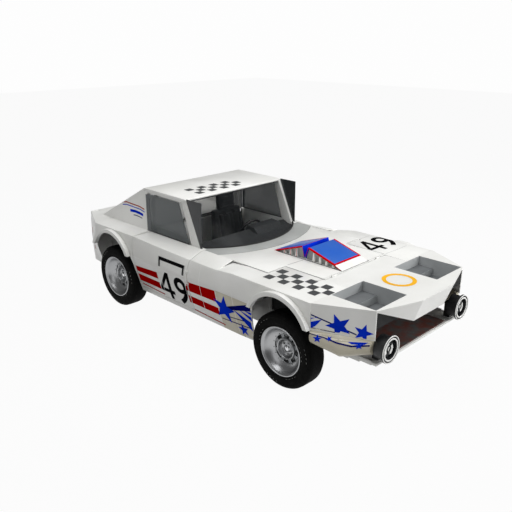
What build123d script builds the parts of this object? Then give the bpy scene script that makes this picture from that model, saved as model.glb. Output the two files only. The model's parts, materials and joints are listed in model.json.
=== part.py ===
"""Two-seat V8 coupe race car: long flat bonnet with a louvred scoop, open headlamp
bays in a beaked nose, flying-buttress roof, deep-dish wheels and slick tyres.

Sizes are in millimetres. While it is modelled, x = 0 is midway between the axles,
+X points to the nose, +Y to the car's left and +Z up from the floor. On export the
car is moved along X so that the origin is under the middle of its length.
"""
import os
from math import cos, radians, sin

from build123d import *

# Driving dimensions
WHEELBASE = 2489.0
NOSE_TIP_X = 2172.0
TAIL_X = -1962.0
TYRE_RADIUS = 344.0
TYRE_WIDTH = 200.0
RIM_LIP_RADIUS = 227.0
RIM_SEAT_RADIUS = 212.0
ROOF_Z = 1372.0
ROOF_HALF = 685.0
BODY_HALF = ROOF_HALF + 230
SILL_HALF = BODY_HALF - 115
WHEEL_CENTRE_Y = BODY_HALF - 115
DOOR_RAIL_Z = 915.0
PILLAR_OUT = ROOF_HALF - 6
PILLAR_IN = ROOF_HALF - 38
DOOR_INNER_Y = ROOF_HALF - 0.5
GLASS_Y = ROOF_HALF + 6
DOOR_RAIL_Y = ROOF_HALF + 7
QUARTER_RAIL_Y = ROOF_HALF - 45
GLASS_THICKNESS = 5.0
PANEL_GAP = 7.0
SKIN = 8.0
DECK_Z = 912.0
SILL_Z = 260.0
DOOR_FOOT_Z = 320.0
CLEARANCE = 0.3
TAIL_LAMP_DEPTH = 18.0
MID_X = (NOSE_TIP_X + TAIL_X - TAIL_LAMP_DEPTH) / 2

AXLE_X = {"front": WHEELBASE / 2, "rear": -WHEELBASE / 2}
SIDES = {"right": -1, "left": 1}

# Cabin stations along the car
DOOR_REAR_X = -862.0
DOOR_FRONT_X = 20.0
COWL_SIDE_X = 225.0
COWL_FRONT_X = 440.0
BONNET_STEP_X = 887.0
BONNET_FRONT_X = 1345.0
BONNET_REAR_HALF = DOOR_INNER_Y - PANEL_GAP
BONNET_FRONT_HALF = 457.0
NOSE_REAR_X = 1582.0
ROOF_REAR_X = -918.0
ROOF_FRONT_X = -227.0
SAIL_TIP_X = TAIL_X + 190
TAIL_CORNER_X = TAIL_X + 378
TAIL_PANEL_DEPTH = 12.0
TAIL_LAMP_YS = (BODY_HALF - 495, BODY_HALF - 315)
TAIL_LAMP_Z = 760.0
TAIL_LAMP_RADIUS = 62.0

# Nose
NOSE_CORNER_X = NOSE_TIP_X - 140
NOSE_CORNER_Y = BODY_HALF - 240
NOSE_SIDE_REAR_Z = 674.0
NOSE_SIDE_FRONT_Z = 650.0
BEAK_HALF = 241.0
BEAK_DEPTH = 200.0
NOSE_TOP_Z = 904.0
HEADER_X = BONNET_FRONT_X + PANEL_GAP
BAY_INNER_Y = 237.0
BAY_OUTER_Y = NOSE_CORNER_Y - 7
BAY_FLOOR_Z = 752.0
BAY_STEP_Z = 816.0
BAY_STEP_DEPTH = 150.0
LAMP_Y = NOSE_CORNER_Y - 108
LAMP_Z = 567.0
LAMP_RADIUS = 118.0
TRAY_TOP_Z = 444.0
TRAY_REAR_X = 1665.0
MOUTH_HALF = LAMP_Y - 125
BONNET_HINGE = (BONNET_FRONT_X + PANEL_GAP / 2, 908.0)
BONNET_HINGE_YS = (-330.0, 330.0)

# Scoop on the bonnet
SCOOP_REAR_X = 505.0
SCOOP_PEAK_X = 862.0
SCOOP_PEAK_Z = 1035.0
SCOOP_HALF = 195.0
SCOOP_WALL = 172.0
SCOOP_LID = 12.0

# Wheel arches
ARCH_RADIUS = 352.0
ARCH_CENTRE_Z = 522.0
ARCH_LEG_HALF = 402.0
FLARE_WIDTH = 40.0
FLARE_DEPTH = 46.0
FLARE_FOOT_Z = 676.0
FLARE_SEAT_Y = {"front": BODY_HALF + 7, "rear": BODY_HALF + 5}

# Door hinges: a pin on the seam line, in the gap ahead of the door
DOOR_HINGE = (DOOR_FRONT_X + PANEL_GAP / 2, BODY_HALF, 682.0)
HINGE_HEIGHT = 150.0
HINGE_PIN = 4.0
HINGE_BARREL = 8.5
HINGE_NOTCH = 10.0
POST_DEPTH = 20.0
ENGINE_FOOT_Z = 330.0
RAIL_TOP_Z = 380.0
FLOOR_TOP_Z = 274.0
FIREWALL_X = 300.0
ROCKER_INNER_Y = ROOF_HALF + 20
EXHAUST_Y = 300.0
EXHAUST_RADIUS = 26.0
LINER_Y = BODY_HALF - 389
ROOF_RAIL = 42.0
SEAT_Y = 280.0
SEAT_HALF = 230.0
DECK_HALF = QUARTER_RAIL_Y - CLEARANCE
SCREEN_BASE_SIDE_X = -8.0
SCREEN_BASE_MID_X = 262.0
SCREEN_HALF = PILLAR_IN - 2

# Wheels, hubs and steering
HUB_BORE_RADIUS = 30.0
HUB_CLEARANCE = 0.08
DISC_Y = BODY_HALF - 125
KINGPIN_Y = BODY_HALF - 200
BALL_PIN = 10.0
LOWER_ARM_Z = 256.0
UPPER_ARM_Z = 432.0

made = {}


def keep(name, *solids):
    """Remember a node's solids under its name."""
    made[name] = list(solids)


def block(x0, x1, y0, y1, z0, z1):
    """Box between two corners."""
    middle = ((x0 + x1) / 2, (y0 + y1) / 2, (z0 + z1) / 2)
    return Pos(*middle) * Box(abs(x1 - x0), abs(y1 - y0), abs(z1 - z0))


def profile_y(points, y0, y1):
    """Prism of an (x, z) outline between two y values."""
    face = make_face(Polyline(*[(x, y0, z) for x, z in points], close=True))
    return extrude(face, amount=abs(y1 - y0), dir=(0, 1 if y1 > y0 else -1, 0))


def plan_z(points, z0, z1):
    """Prism of an (x, y) outline between two z values."""
    face = make_face(Polyline(*[(x, y, z0) for x, y in points], close=True))
    return extrude(face, amount=z1 - z0, dir=(0, 0, 1))


def tube(start, end, radius):
    """Round bar between two points."""
    path = Vector(*end) - Vector(*start)
    plane = Plane(origin=start, z_dir=path)
    return plane * Pos(0, 0, path.length / 2) * Cylinder(radius, path.length)


def mirrored(solid):
    """The same piece on the other side of the car."""
    return mirror(solid, about=Plane.XZ)


def on_side(solid, side):
    """A piece drawn on the left, on the side that is asked for."""
    return solid if side > 0 else mirrored(solid)


def one(shape):
    """The single solid of a result, or the shape itself."""
    solids = shape.solids()
    return solids[0] if len(solids) == 1 else Compound(children=list(solids))


def arch_cut(x):
    """Wheel opening of the body side, round above and spreading below."""
    y0, y1 = BODY_HALF - 355, BODY_HALF + 185
    round_top = Pos(x, (y0 + y1) / 2, ARCH_CENTRE_Z) * Rot(90, 0, 0) * Cylinder(ARCH_RADIUS, y1 - y0)
    legs = [
        (x - ARCH_RADIUS, ARCH_CENTRE_Z + 1),
        (x + ARCH_RADIUS, ARCH_CENTRE_Z + 1),
        (x + ARCH_LEG_HALF, SILL_Z - 60),
        (x - ARCH_LEG_HALF, SILL_Z - 60),
    ]
    return round_top + profile_y(legs, y0, y1)


# Body side sections, left side. Each row is one station:
# x, rail y, rail z, crease y, crease z, seam y, seam z, sill y, sill z
FENDER_REAR_STATIONS = [
    (DOOR_FRONT_X + PANEL_GAP, DOOR_INNER_Y, 914, BODY_HALF - 57, 852, BODY_HALF - 1, 684, SILL_HALF, SILL_Z),
    (COWL_FRONT_X, DOOR_INNER_Y, 912, BODY_HALF - 30, 868, BODY_HALF, 686, SILL_HALF, SILL_Z),
]
FENDER_FRONT_STATIONS = [
    (COWL_FRONT_X, BONNET_FRONT_HALF, 912, BODY_HALF - 30, 868, BODY_HALF, 686, SILL_HALF, SILL_Z),
    (660, BONNET_FRONT_HALF, 910, BODY_HALF - 7, 900, BODY_HALF, 686, SILL_HALF, SILL_Z),
    (NOSE_REAR_X - CLEARANCE, BONNET_FRONT_HALF, NOSE_TOP_Z, BODY_HALF - 5, 900, BODY_HALF, 680, SILL_HALF + 12, 300),
]
DOOR_STATIONS = [
    (DOOR_REAR_X, DOOR_RAIL_Y, DOOR_RAIL_Z, BODY_HALF - 12, 902, BODY_HALF - 1, 672, SILL_HALF + 18, DOOR_FOOT_Z),
    (-500, DOOR_RAIL_Y, DOOR_RAIL_Z, BODY_HALF - 25, 882, BODY_HALF - 1, 676, SILL_HALF + 18, DOOR_FOOT_Z),
    (DOOR_FRONT_X, DOOR_RAIL_Y, DOOR_RAIL_Z, BODY_HALF - 57, 852, BODY_HALF - 1, 684, SILL_HALF + 18, DOOR_FOOT_Z),
]
QUARTER_STATIONS = [
    (TAIL_X + TAIL_PANEL_DEPTH, QUARTER_RAIL_Y, 925, BODY_HALF - 180, 925, BODY_HALF - 167, 670, BODY_HALF - 185, 330),
    (TAIL_CORNER_X, QUARTER_RAIL_Y, 914, BODY_HALF - 10, 900, BODY_HALF, 668, SILL_HALF, 350),
    (DOOR_REAR_X - PANEL_GAP, QUARTER_RAIL_Y, 914, BODY_HALF - 12, 902, BODY_HALF - 1, 672, SILL_HALF, SILL_Z),
]
SIDE_BULGE = 9.0


def side_face(row, depth=None, inner_y=None, inner_foot_y=None):
    """Closed face of one station: a skin of the given depth, or filled to a flat inner wall."""
    x, rail_y, rail_z, crease_y, crease_z, seam_y, seam_z, sill_y, sill_z = row
    outer = [(rail_y, rail_z), (crease_y, crease_z), (seam_y, seam_z), (sill_y, sill_z)]

    def arc(start, end, bulge):
        middle = ((start[0] + end[0]) / 2 + bulge, (start[1] + end[1]) / 2 + bulge / 3)
        return ThreePointArc((x, *start), (x, *middle), (x, *end))

    edges = [Line((x, *outer[0]), (x, *outer[1]))]
    edges += [arc(outer[1], outer[2], SIDE_BULGE), arc(outer[2], outer[3], SIDE_BULGE)]
    if inner_y is not None:
        inner = [(inner_foot_y, sill_z), (inner_y, rail_z)]
        edges += [Line((x, *outer[3]), (x, *inner[0])), Line((x, *inner[0]), (x, *inner[1]))]
        edges += [Line((x, *inner[1]), (x, *outer[0]))]
        return make_face(edges)
    inner = [
        (rail_y, rail_z - depth),
        (crease_y - depth, crease_z - depth),
        (seam_y - depth, seam_z),
        (sill_y - depth, sill_z),
    ]
    edges += [Line((x, *outer[3]), (x, *inner[3]))]
    edges += [arc(inner[3], inner[2], SIDE_BULGE), arc(inner[2], inner[1], SIDE_BULGE)]
    edges += [Line((x, *inner[1]), (x, *inner[0])), Line((x, *inner[0]), (x, *outer[0]))]
    return make_face(edges)


def side_skin(stations, depth):
    """Thin body side through its stations."""
    return loft([side_face(row, depth) for row in stations], ruled=True)


def jamb_post(row, length):
    """Closed post behind a body side's end, just inside its skin."""
    x, rail_y, rail_z, crease_y, crease_z, seam_y, seam_z, sill_y, sill_z = row
    inset = SKIN / 2
    rail_y = max(rail_y, DOOR_INNER_Y + inset)
    rows = []
    for place in (x, x + length):
        rows.append(
            (place, rail_y + inset, rail_z - inset, crease_y - inset, crease_z - inset,
             seam_y - inset, seam_z, sill_y - inset, sill_z)
        )
    return loft([side_face(one_row, None, DOOR_INNER_Y, 700) for one_row in rows], ruled=True)


def hinge_notch():
    x, y, z = DOOR_HINGE
    return Pos(x, y, z) * Cylinder(HINGE_NOTCH, HINGE_HEIGHT + 10)


def hinge_strap(x0, x1, z0, z1):
    """Leaf from a hinge's barrel into the panel that it serves."""
    x, y, z = DOOR_HINGE
    leaf = block(x0, x1, y - 14, y - 3, z0, z1)
    barrel = Pos(x, y, (z0 + z1) / 2) * Cylinder(HINGE_BARREL, z1 - z0)
    return leaf + barrel


def front_fenders():
    x, y, z = DOOR_HINGE
    third = HINGE_HEIGHT / 5
    for name, side in SIDES.items():
        skin = side_skin(FENDER_REAR_STATIONS, SKIN) + side_skin(FENDER_FRONT_STATIONS, SKIN)
        skin -= arch_cut(AXLE_X["front"])
        skin -= block(COWL_FRONT_X, BONNET_STEP_X + PANEL_GAP, 0, DOOR_INNER_Y, 850, 1000)
        solid = skin + jamb_post(FENDER_REAR_STATIONS[0], POST_DEPTH) - hinge_notch()
        top, foot = z + HINGE_HEIGHT / 2, z - HINGE_HEIGHT / 2
        solid += hinge_strap(x, x + 24, foot, foot + third)
        solid += hinge_strap(x, x + 24, top - third, top)
        solid += Pos(x, y, z) * Cylinder(HINGE_PIN, HINGE_HEIGHT)
        keep(f"front_fender_{name}", on_side(one(solid), side))


def wheel_liners():
    """Flat inner wall of each wheel opening."""
    liners = []
    for side in SIDES.values():
        front = block(700, NOSE_REAR_X - 10, LINER_Y - 6, LINER_Y, 480, NOSE_TOP_Z - SKIN - 1.5)
        rear = block(TAIL_X + 322, ROOF_REAR_X - 40, LINER_Y - 6, LINER_Y, 480, DECK_Z - 10 - CLEARANCE)
        liners += [on_side(front, side), on_side(rear, side)]
    keep("wheel_liners", *liners)


def rear_quarters():
    front = DOOR_REAR_X - PANEL_GAP
    behind_roof = ROOF_REAR_X - CLEARANCE
    under_rail = ROOF_Z - ROOF_RAIL - CLEARANCE
    sail = [
        (front, DECK_Z - 6),
        (front, under_rail),
        (behind_roof, under_rail),
        (behind_roof, ROOF_Z - 1),
        (SAIL_TIP_X, DECK_Z + 6),
        (SAIL_TIP_X, DECK_Z - 6),
    ]
    for name, side in SIDES.items():
        skin = side_skin(QUARTER_STATIONS, SKIN) - arch_cut(AXLE_X["rear"])
        buttress = profile_y(sail, ROOF_HALF - 36, ROOF_HALF)
        solid = skin + jamb_post(QUARTER_STATIONS[-1], -POST_DEPTH) + buttress
        keep(f"rear_quarter_{name}", on_side(one(solid), side))


def rear_wing_profile():
    """Deck between the buttresses with its upturned tail."""
    tail = TAIL_X + TAIL_PANEL_DEPTH
    deck = plan_z(
        [
            (ROOF_REAR_X - 20, -DECK_HALF),
            (ROOF_REAR_X - 20, DECK_HALF),
            (tail, DECK_HALF),
            (tail, -DECK_HALF),
        ],
        DECK_Z - 10,
        DECK_Z,
    )
    lip = profile_y(
        [(tail + 150, DECK_Z - 4), (tail, DECK_Z - 4), (tail, DECK_Z + 20)],
        -DECK_HALF,
        DECK_HALF,
    )
    return deck + lip


def tail_panel():
    x0, x1 = TAIL_X, TAIL_X + TAIL_PANEL_DEPTH - CLEARANCE
    _, _, _, crease_y, crease_z, seam_y, seam_z, sill_y, sill_z = QUARTER_STATIONS[0]
    half = [(crease_y, crease_z + 5), (seam_y, seam_z), (sill_y, sill_z)]
    outline = [(-y, z) for y, z in reversed(half)] + half
    face = make_face(Polyline(*[(x0, y, z) for y, z in outline], close=True))
    panel = extrude(face, amount=x1 - x0, dir=(1, 0, 0))
    keep("tail_panel", one(panel))
    keep("rear_deck", one(rear_wing_profile()))
    lamps = []
    for side in SIDES.values():
        for y in TAIL_LAMP_YS:
            depth = TAIL_LAMP_DEPTH - CLEARANCE
            place = Pos(TAIL_X - CLEARANCE - depth / 2, side * y, TAIL_LAMP_Z)
            lamp = place * Rot(0, 90, 0) * Cylinder(TAIL_LAMP_RADIUS, depth)
            lamps.append(lamp)
    keep("tail_lamps", *lamps)


def doors():
    x, y, z = DOOR_HINGE
    eye = HINGE_HEIGHT * 3 / 10 - CLEARANCE
    shut_face = plan_z(
        [
            (DOOR_REAR_X - 20, 500),
            (DOOR_REAR_X + 60, 500),
            (DOOR_REAR_X, BODY_HALF + 5),
            (DOOR_REAR_X - 20, BODY_HALF + 5),
        ],
        0,
        1000,
    )
    for name, side in SIDES.items():
        shell = loft([side_face(row, None, DOOR_INNER_Y, 700) for row in DOOR_STATIONS], ruled=True)
        shell = shell - shut_face - hinge_notch()
        shell += hinge_strap(x - 24, x, z - eye, z + eye)
        shell -= Pos(x, y, z) * Cylinder(HINGE_PIN + CLEARANCE, HINGE_HEIGHT)
        keep(f"door_{name}", on_side(one(shell), side))
        glass = [
            (DOOR_REAR_X + 34, DOOR_RAIL_Z + CLEARANCE),
            (DOOR_REAR_X + 34, ROOF_Z - ROOF_RAIL - PANEL_GAP),
            (-330, ROOF_Z - ROOF_RAIL - PANEL_GAP),
            (-186, DOOR_RAIL_Z + CLEARANCE),
        ]
        pane = profile_y(glass, GLASS_Y - GLASS_THICKNESS, GLASS_Y)
        keep(f"door_glass_{name}", on_side(one(pane), side))


def roof():
    rear, front = ROOF_REAR_X, ROOF_FRONT_X
    pieces = profile_y(
        [
            (rear, ROOF_Z - 22),
            (rear, ROOF_Z),
            (front - 20, ROOF_Z - 3),
            (front, ROOF_Z - 12),
            (front - 4, ROOF_Z - 24),
        ],
        -ROOF_HALF,
        ROOF_HALF,
    )
    foot = DOOR_FRONT_X + PANEL_GAP - CLEARANCE
    pillar = [
        (-168, DECK_Z),
        (-168, 880),
        (foot, 790),
        (foot, DECK_Z),
        (-32, DECK_Z),
        (front, ROOF_Z - 20),
        (front - 82, ROOF_Z - 20),
    ]
    low = ROOF_Z - ROOF_RAIL
    rail = [(rear, low), (rear, ROOF_Z - 10), (front - 40, ROOF_Z - 10), (front - 48, low)]
    for side in SIDES.values():
        pieces += on_side(profile_y(pillar, PILLAR_IN, PILLAR_OUT), side)
        pieces += on_side(profile_y(rail, PILLAR_IN + 2, ROOF_HALF), side)
    keep("roof", one(pieces))


def arc_strip(x_side, x_mid, half, z, thickness):
    """Thin curved strip in plan, bowed forwards, as a face at height z."""
    edges = [
        ThreePointArc((x_side, -half, z), (x_mid, 0, z), (x_side, half, z)),
        Line((x_side, half, z), (x_side - thickness, half, z)),
        ThreePointArc((x_side - thickness, half, z), (x_mid - thickness, 0, z), (x_side - thickness, -half, z)),
        Line((x_side - thickness, -half, z), (x_side, -half, z)),
    ]
    return make_face(edges)


def glazing():
    base = arc_strip(SCREEN_BASE_SIDE_X, SCREEN_BASE_MID_X, SCREEN_HALF, DECK_Z + CLEARANCE, 7)
    top = arc_strip(ROOF_FRONT_X - 14, ROOF_FRONT_X + 4, SCREEN_HALF, ROOF_Z - 24 - CLEARANCE, 7)
    keep("windscreen", one(loft([base, top], ruled=True)))
    rear = block(ROOF_REAR_X - 6, ROOF_REAR_X, -QUARTER_RAIL_Y, QUARTER_RAIL_Y, DECK_Z + CLEARANCE, ROOF_Z - 22 - CLEARANCE)
    keep("rear_window", rear)
    panes = []
    for side in SIDES.values():
        pane = profile_y(
            [
                (-31, DECK_Z + CLEARANCE),
                (-3, DECK_Z + CLEARANCE),
                (-3, ROOF_Z - 2),
                (ROOF_FRONT_X + 1, ROOF_Z - 2),
                (ROOF_FRONT_X + 1, ROOF_Z - 20),
            ],
            PILLAR_OUT - GLASS_THICKNESS,
            PILLAR_OUT,
        )
        panes.append(on_side(pane, side))
    keep("deflector_panes", *panes)


def cowl():
    """Panel between the screen's foot and the bonnet, with its scuttle below."""
    z = DECK_Z
    half = DOOR_INNER_Y - CLEARANCE
    rear_x = DOOR_FRONT_X + PANEL_GAP
    foot_x = SCREEN_BASE_SIDE_X - 8
    inner = PILLAR_IN - CLEARANCE
    corners = [(foot_x, inner), (rear_x, inner), (rear_x, half), (COWL_SIDE_X, half)]
    edges = []
    for side in SIDES.values():
        edges += [Line((a[0], side * a[1], z), (b[0], side * b[1], z)) for a, b in zip(corners, corners[1:])]
    edges.append(ThreePointArc((COWL_SIDE_X, half, z), (COWL_FRONT_X, 0, z), (COWL_SIDE_X, -half, z)))
    edges.append(ThreePointArc((foot_x, -inner, z), (SCREEN_BASE_MID_X - 12, 0, z), (foot_x, inner, z)))
    plate = extrude(make_face(edges), amount=8, dir=(0, 0, -1))
    keep("cowl", one(plate))


def bonnet():
    z = DECK_Z - 14
    inner = BONNET_FRONT_HALF - PANEL_GAP
    rear_x = COWL_SIDE_X + PANEL_GAP
    side_line = [(rear_x, BONNET_REAR_HALF), (BONNET_STEP_X, BONNET_REAR_HALF)]
    side_line += [(BONNET_STEP_X, inner), (BONNET_FRONT_X, inner)]
    edges = [Line((BONNET_FRONT_X, inner, z), (BONNET_FRONT_X, -inner, z))]
    for side in SIDES.values():
        edges += [Line((a[0], side * a[1], z), (b[0], side * b[1], z)) for a, b in zip(side_line, side_line[1:])]
    middle = (COWL_FRONT_X + PANEL_GAP, 0, z)
    edges.append(ThreePointArc((rear_x, -BONNET_REAR_HALF, z), middle, (rear_x, BONNET_REAR_HALF, z)))
    panel = extrude(make_face(edges), amount=12, dir=(0, 0, 1))
    hx, hz = BONNET_HINGE
    for y in BONNET_HINGE_YS:
        panel -= Pos(hx, y, hz) * Rot(90, 0, 0) * Cylinder(HINGE_NOTCH, 60)
        panel += Pos(hx, y, hz) * Rot(90, 0, 0) * Cylinder(HINGE_BARREL, 30)
        panel += block(hx - 26, hx, y - 15, y + 15, hz - 10, hz - 1)
        panel -= Pos(hx, y, hz) * Rot(90, 0, 0) * Cylinder(HINGE_PIN + CLEARANCE, 60)
    keep("bonnet", one(panel))


def scoop_half(outline, rib_rows, base):
    """One half of the scoop: a wide lid over a narrower box whose sides carry ribs."""
    lid = profile_y(outline, -SCOOP_HALF, SCOOP_HALF)
    lid -= Pos(0, 0, -SCOOP_LID) * profile_y(outline, -SCOOP_HALF - 1, SCOOP_HALF + 1)
    lid -= block(400, 1400, -SCOOP_HALF - 1, SCOOP_HALF + 1, base - SCOOP_LID - 1, base)
    solid = lid + profile_y(outline, -SCOOP_WALL, SCOOP_WALL)
    for x, top in rib_rows:
        foot = [(x - 13, base), (x + 13, base), (x + 4, top - 3), (x - 4, top - 3)]
        for side in SIDES.values():
            solid += on_side(profile_y(foot, SCOOP_WALL - 4, SCOOP_HALF - 4), side)
    return one(solid)


def bonnet_scoop():
    base = DECK_Z - 2 + CLEARANCE
    rear_x, peak_x, peak_z = SCOOP_REAR_X, SCOOP_PEAK_X, SCOOP_PEAK_Z
    rear_outline = [(rear_x, base), (peak_x, peak_z), (peak_x + 28, 940), (peak_x + 28, base)]
    front_outline = [(904, base), (904, 950), (936, peak_z - 1), (1256, 944), (1338, base)]
    rear_slope = (peak_z - base) / (peak_x - rear_x)
    front_slope = (peak_z - 1 - 944) / (1256 - 936)
    rear_ribs = [(x, base + (x - rear_x) * rear_slope) for x in (640, 715, 790)]
    front_ribs = [(x, peak_z - (x - 936) * front_slope) for x in (1000, 1075, 1150, 1225)]
    keep("bonnet_scoop", scoop_half(rear_outline, rear_ribs, base), scoop_half(front_outline, front_ribs, base))


def nose_wall():
    """Flat side of the nose, from the wheel opening in to the front corner."""
    faces = []
    for x, y, low in ((NOSE_REAR_X, BODY_HALF - 5, NOSE_SIDE_REAR_Z), (NOSE_CORNER_X, NOSE_CORNER_Y, NOSE_SIDE_FRONT_Z)):
        outline = [(y, NOSE_TOP_Z), (y, low), (y - 10, low), (y - 10, NOSE_TOP_Z)]
        faces.append(make_face(Polyline(*[(x, py, pz) for py, pz in outline], close=True)))
    return loft(faces, ruled=True)


def beak():
    """Tapered lower face of the nose: deep in the middle, nothing at the corners."""
    rows = [
        (-NOSE_CORNER_Y + 1, NOSE_CORNER_X, NOSE_CORNER_X - 1, 12),
        (-BEAK_HALF, NOSE_TIP_X, NOSE_TIP_X - 68, BEAK_DEPTH),
        (BEAK_HALF, NOSE_TIP_X, NOSE_TIP_X - 68, BEAK_DEPTH),
        (NOSE_CORNER_Y - 1, NOSE_CORNER_X, NOSE_CORNER_X - 1, 12),
    ]
    faces = []
    for y, tip_x, low_x, depth in rows:
        back = NOSE_CORNER_X - 12
        outline = [(back, 900), (tip_x, 900), (low_x, 902 - depth), (back - depth / 2, 902 - depth)]
        faces.append(make_face(Polyline(*[(px, y, pz) for px, pz in outline], close=True)))
    return loft(faces, ruled=True)


def nose():
    shell = plan_z(
        [
            (NOSE_REAR_X, 5 - BODY_HALF),
            (NOSE_CORNER_X, -NOSE_CORNER_Y),
            (NOSE_TIP_X, -BEAK_HALF),
            (NOSE_TIP_X, BEAK_HALF),
            (NOSE_CORNER_X, NOSE_CORNER_Y),
            (NOSE_REAR_X, BODY_HALF - 5),
            (NOSE_REAR_X, BONNET_FRONT_HALF - CLEARANCE),
            (HEADER_X, BONNET_FRONT_HALF - CLEARANCE),
            (HEADER_X, -BONNET_FRONT_HALF + CLEARANCE),
            (NOSE_REAR_X, -BONNET_FRONT_HALF + CLEARANCE),
        ],
        NOSE_TOP_Z - 10,
        NOSE_TOP_Z,
    )
    shell += beak()
    plan = plan_z(
        [(NOSE_REAR_X, 0), (NOSE_REAR_X, BODY_HALF - 5), (NOSE_CORNER_X, NOSE_CORNER_Y), (NOSE_CORNER_X, 0)], 700, 900
    )
    for side in SIDES.values():
        shell += on_side(nose_wall(), side)
        tub = block(
            NOSE_REAR_X, NOSE_CORNER_X - 3, BAY_INNER_Y - 9, BAY_OUTER_Y + 10, BAY_FLOOR_Z - 10, NOSE_TOP_Z - 8
        )
        shell += on_side(tub & plan, side)
    bay_rear, bay_front = NOSE_REAR_X + 8, NOSE_CORNER_X - 11
    for side in SIDES.values():
        bay = block(bay_rear, bay_front, BAY_INNER_Y, BAY_OUTER_Y, BAY_FLOOR_Z, 1000)
        bay -= block(bay_rear - 1, bay_rear + BAY_STEP_DEPTH, 0, 1000, 0, BAY_STEP_Z)
        shell -= on_side(bay, side)
    hx, hz = BONNET_HINGE
    for y in BONNET_HINGE_YS:
        shell -= Pos(hx, y, hz) * Rot(90, 0, 0) * Cylinder(HINGE_NOTCH, 60)
        shell += Pos(hx, y, hz) * Rot(90, 0, 0) * Cylinder(HINGE_PIN, 56)
        for end in (-22, 22):
            shell += Pos(hx, y + end, hz) * Rot(90, 0, 0) * Cylinder(HINGE_BARREL, 12)
            shell += block(hx, hx + 26, y + end - 6, y + end + 6, hz - 12, hz - 4)
    keep("nose_shell", one(shell))


def corner_bumpers():
    drop = (NOSE_SIDE_REAR_Z - NOSE_SIDE_FRONT_Z) / (NOSE_CORNER_X - NOSE_REAR_X)
    rows = []
    stations = (
        (NOSE_REAR_X + 2, BODY_HALF - 12, 548, 24),
        (NOSE_REAR_X + 218, BODY_HALF - 125, 466, 62),
        (NOSE_CORNER_X - 20, NOSE_CORNER_Y + 1, 520, 26),
    )
    for x, y, low, bulge in stations:
        high = NOSE_SIDE_REAR_Z - drop * (x - NOSE_REAR_X) - CLEARANCE
        rows.append((x, y, low, high, bulge))
    faces = []
    for x, y, low, high, bulge in rows:
        middle = (low + high) / 2
        edges = [
            Line((x, y - 30, high), (x, y + 4, high)),
            ThreePointArc((x, y + 4, high), (x, y + 4 + bulge, middle), (x, y - 20, low)),
            Line((x, y - 20, low), (x, y - 30, low)),
            Line((x, y - 30, low), (x, y - 30, high)),
        ]
        faces.append(make_face(edges))
    bumper = loft(faces, ruled=True)
    keep("corner_bumpers", one(bumper), mirrored(one(bumper)))


def lower_front():
    rear_x, front_x, top = TRAY_REAR_X, NOSE_CORNER_X + 14, TRAY_TOP_Z
    rear_y, front_y = NOSE_CORNER_Y - 35, NOSE_CORNER_Y - 23
    tray = plan_z([(rear_x, -rear_y), (front_x, -front_y), (front_x, front_y), (rear_x, rear_y)], top - 20, top)
    for side in SIDES.values():
        tray += on_side(block(rear_x, front_x - 46, rear_y - 80, rear_y - 40, top - 44, top - 18), side)
        tray += on_side(block(NOSE_REAR_X - 2, rear_x + 35, 410, 450, RAIL_TOP_Z + CLEARANCE, top - 14), side)
        for step, x in enumerate((rear_x, rear_x + 110, rear_x + 220)):
            low = top - 46 + 8 * step
            y0, y1 = rear_y - 4 - 4 * step, rear_y + 22 - 8 * step
            tray += on_side(block(x, x + 110, y0, y1, low, top + 14 - 4 * step), side)
    keep("splitter", one(tray))
    floor_z = top + CLEARANCE
    duct = block(rear_x + 3, NOSE_CORNER_X - 2, -MOUTH_HALF, MOUTH_HALF, floor_z, floor_z + 8)
    duct += block(rear_x + 3, rear_x + 25, -MOUTH_HALF, MOUTH_HALF, floor_z + 6, BAY_FLOOR_Z - 16)
    keep("radiator_duct", one(duct))
    housings, lenses = [], []
    for side in SIDES.values():
        y, x = side * LAMP_Y, NOSE_TIP_X - 64
        barrel = Pos(x - 48, y, LAMP_Z) * Rot(0, 90, 0) * Cylinder(LAMP_RADIUS - 18, 88)
        bezel = Pos(x, y, LAMP_Z) * Rot(0, 90, 0) * Cylinder(LAMP_RADIUS, 14)
        groove = Cylinder(LAMP_RADIUS - 10, 8) - Cylinder(LAMP_RADIUS - 18, 9)
        groove = Pos(x + 6, y, LAMP_Z) * Rot(0, 90, 0) * groove
        bore = Pos(x + 2, y, LAMP_Z) * Rot(0, 90, 0) * Cylinder(LAMP_RADIUS - 34, 60)
        stem = block(x - 148, x - 88, y - 24, y + 24, floor_z, LAMP_Z + 23)
        arm = block(x - 148, x - 78, y - 24, y + 24, LAMP_Z - 22, LAMP_Z + 23)
        housings.append(one(barrel + bezel - bore - groove + stem + arm))
        lens = Pos(x - 18, y, LAMP_Z) * Rot(0, 90, 0) * Cylinder(LAMP_RADIUS - 34 - CLEARANCE, 8)
        lenses.append(lens)
    keep("driving_lamps", *housings)
    keep("driving_lamp_lenses", *lenses)


def wheel_flares():
    flares = []
    for end, x in AXLE_X.items():
        ring = Cylinder(ARCH_RADIUS + FLARE_WIDTH - 14, FLARE_DEPTH) - Cylinder(ARCH_RADIUS - 14, FLARE_DEPTH + 2)
        ring = Pos(x, FLARE_SEAT_Y[end] + FLARE_DEPTH / 2, ARCH_CENTRE_Z) * Rot(90, 0, 0) * ring
        ring -= block(x - 500, x + 500, SILL_HALF, BODY_HALF + 185, 0, FLARE_FOOT_Z)
        for side in SIDES.values():
            flares.append(on_side(one(ring), side))
    keep("wheel_flares", *flares)


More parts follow.
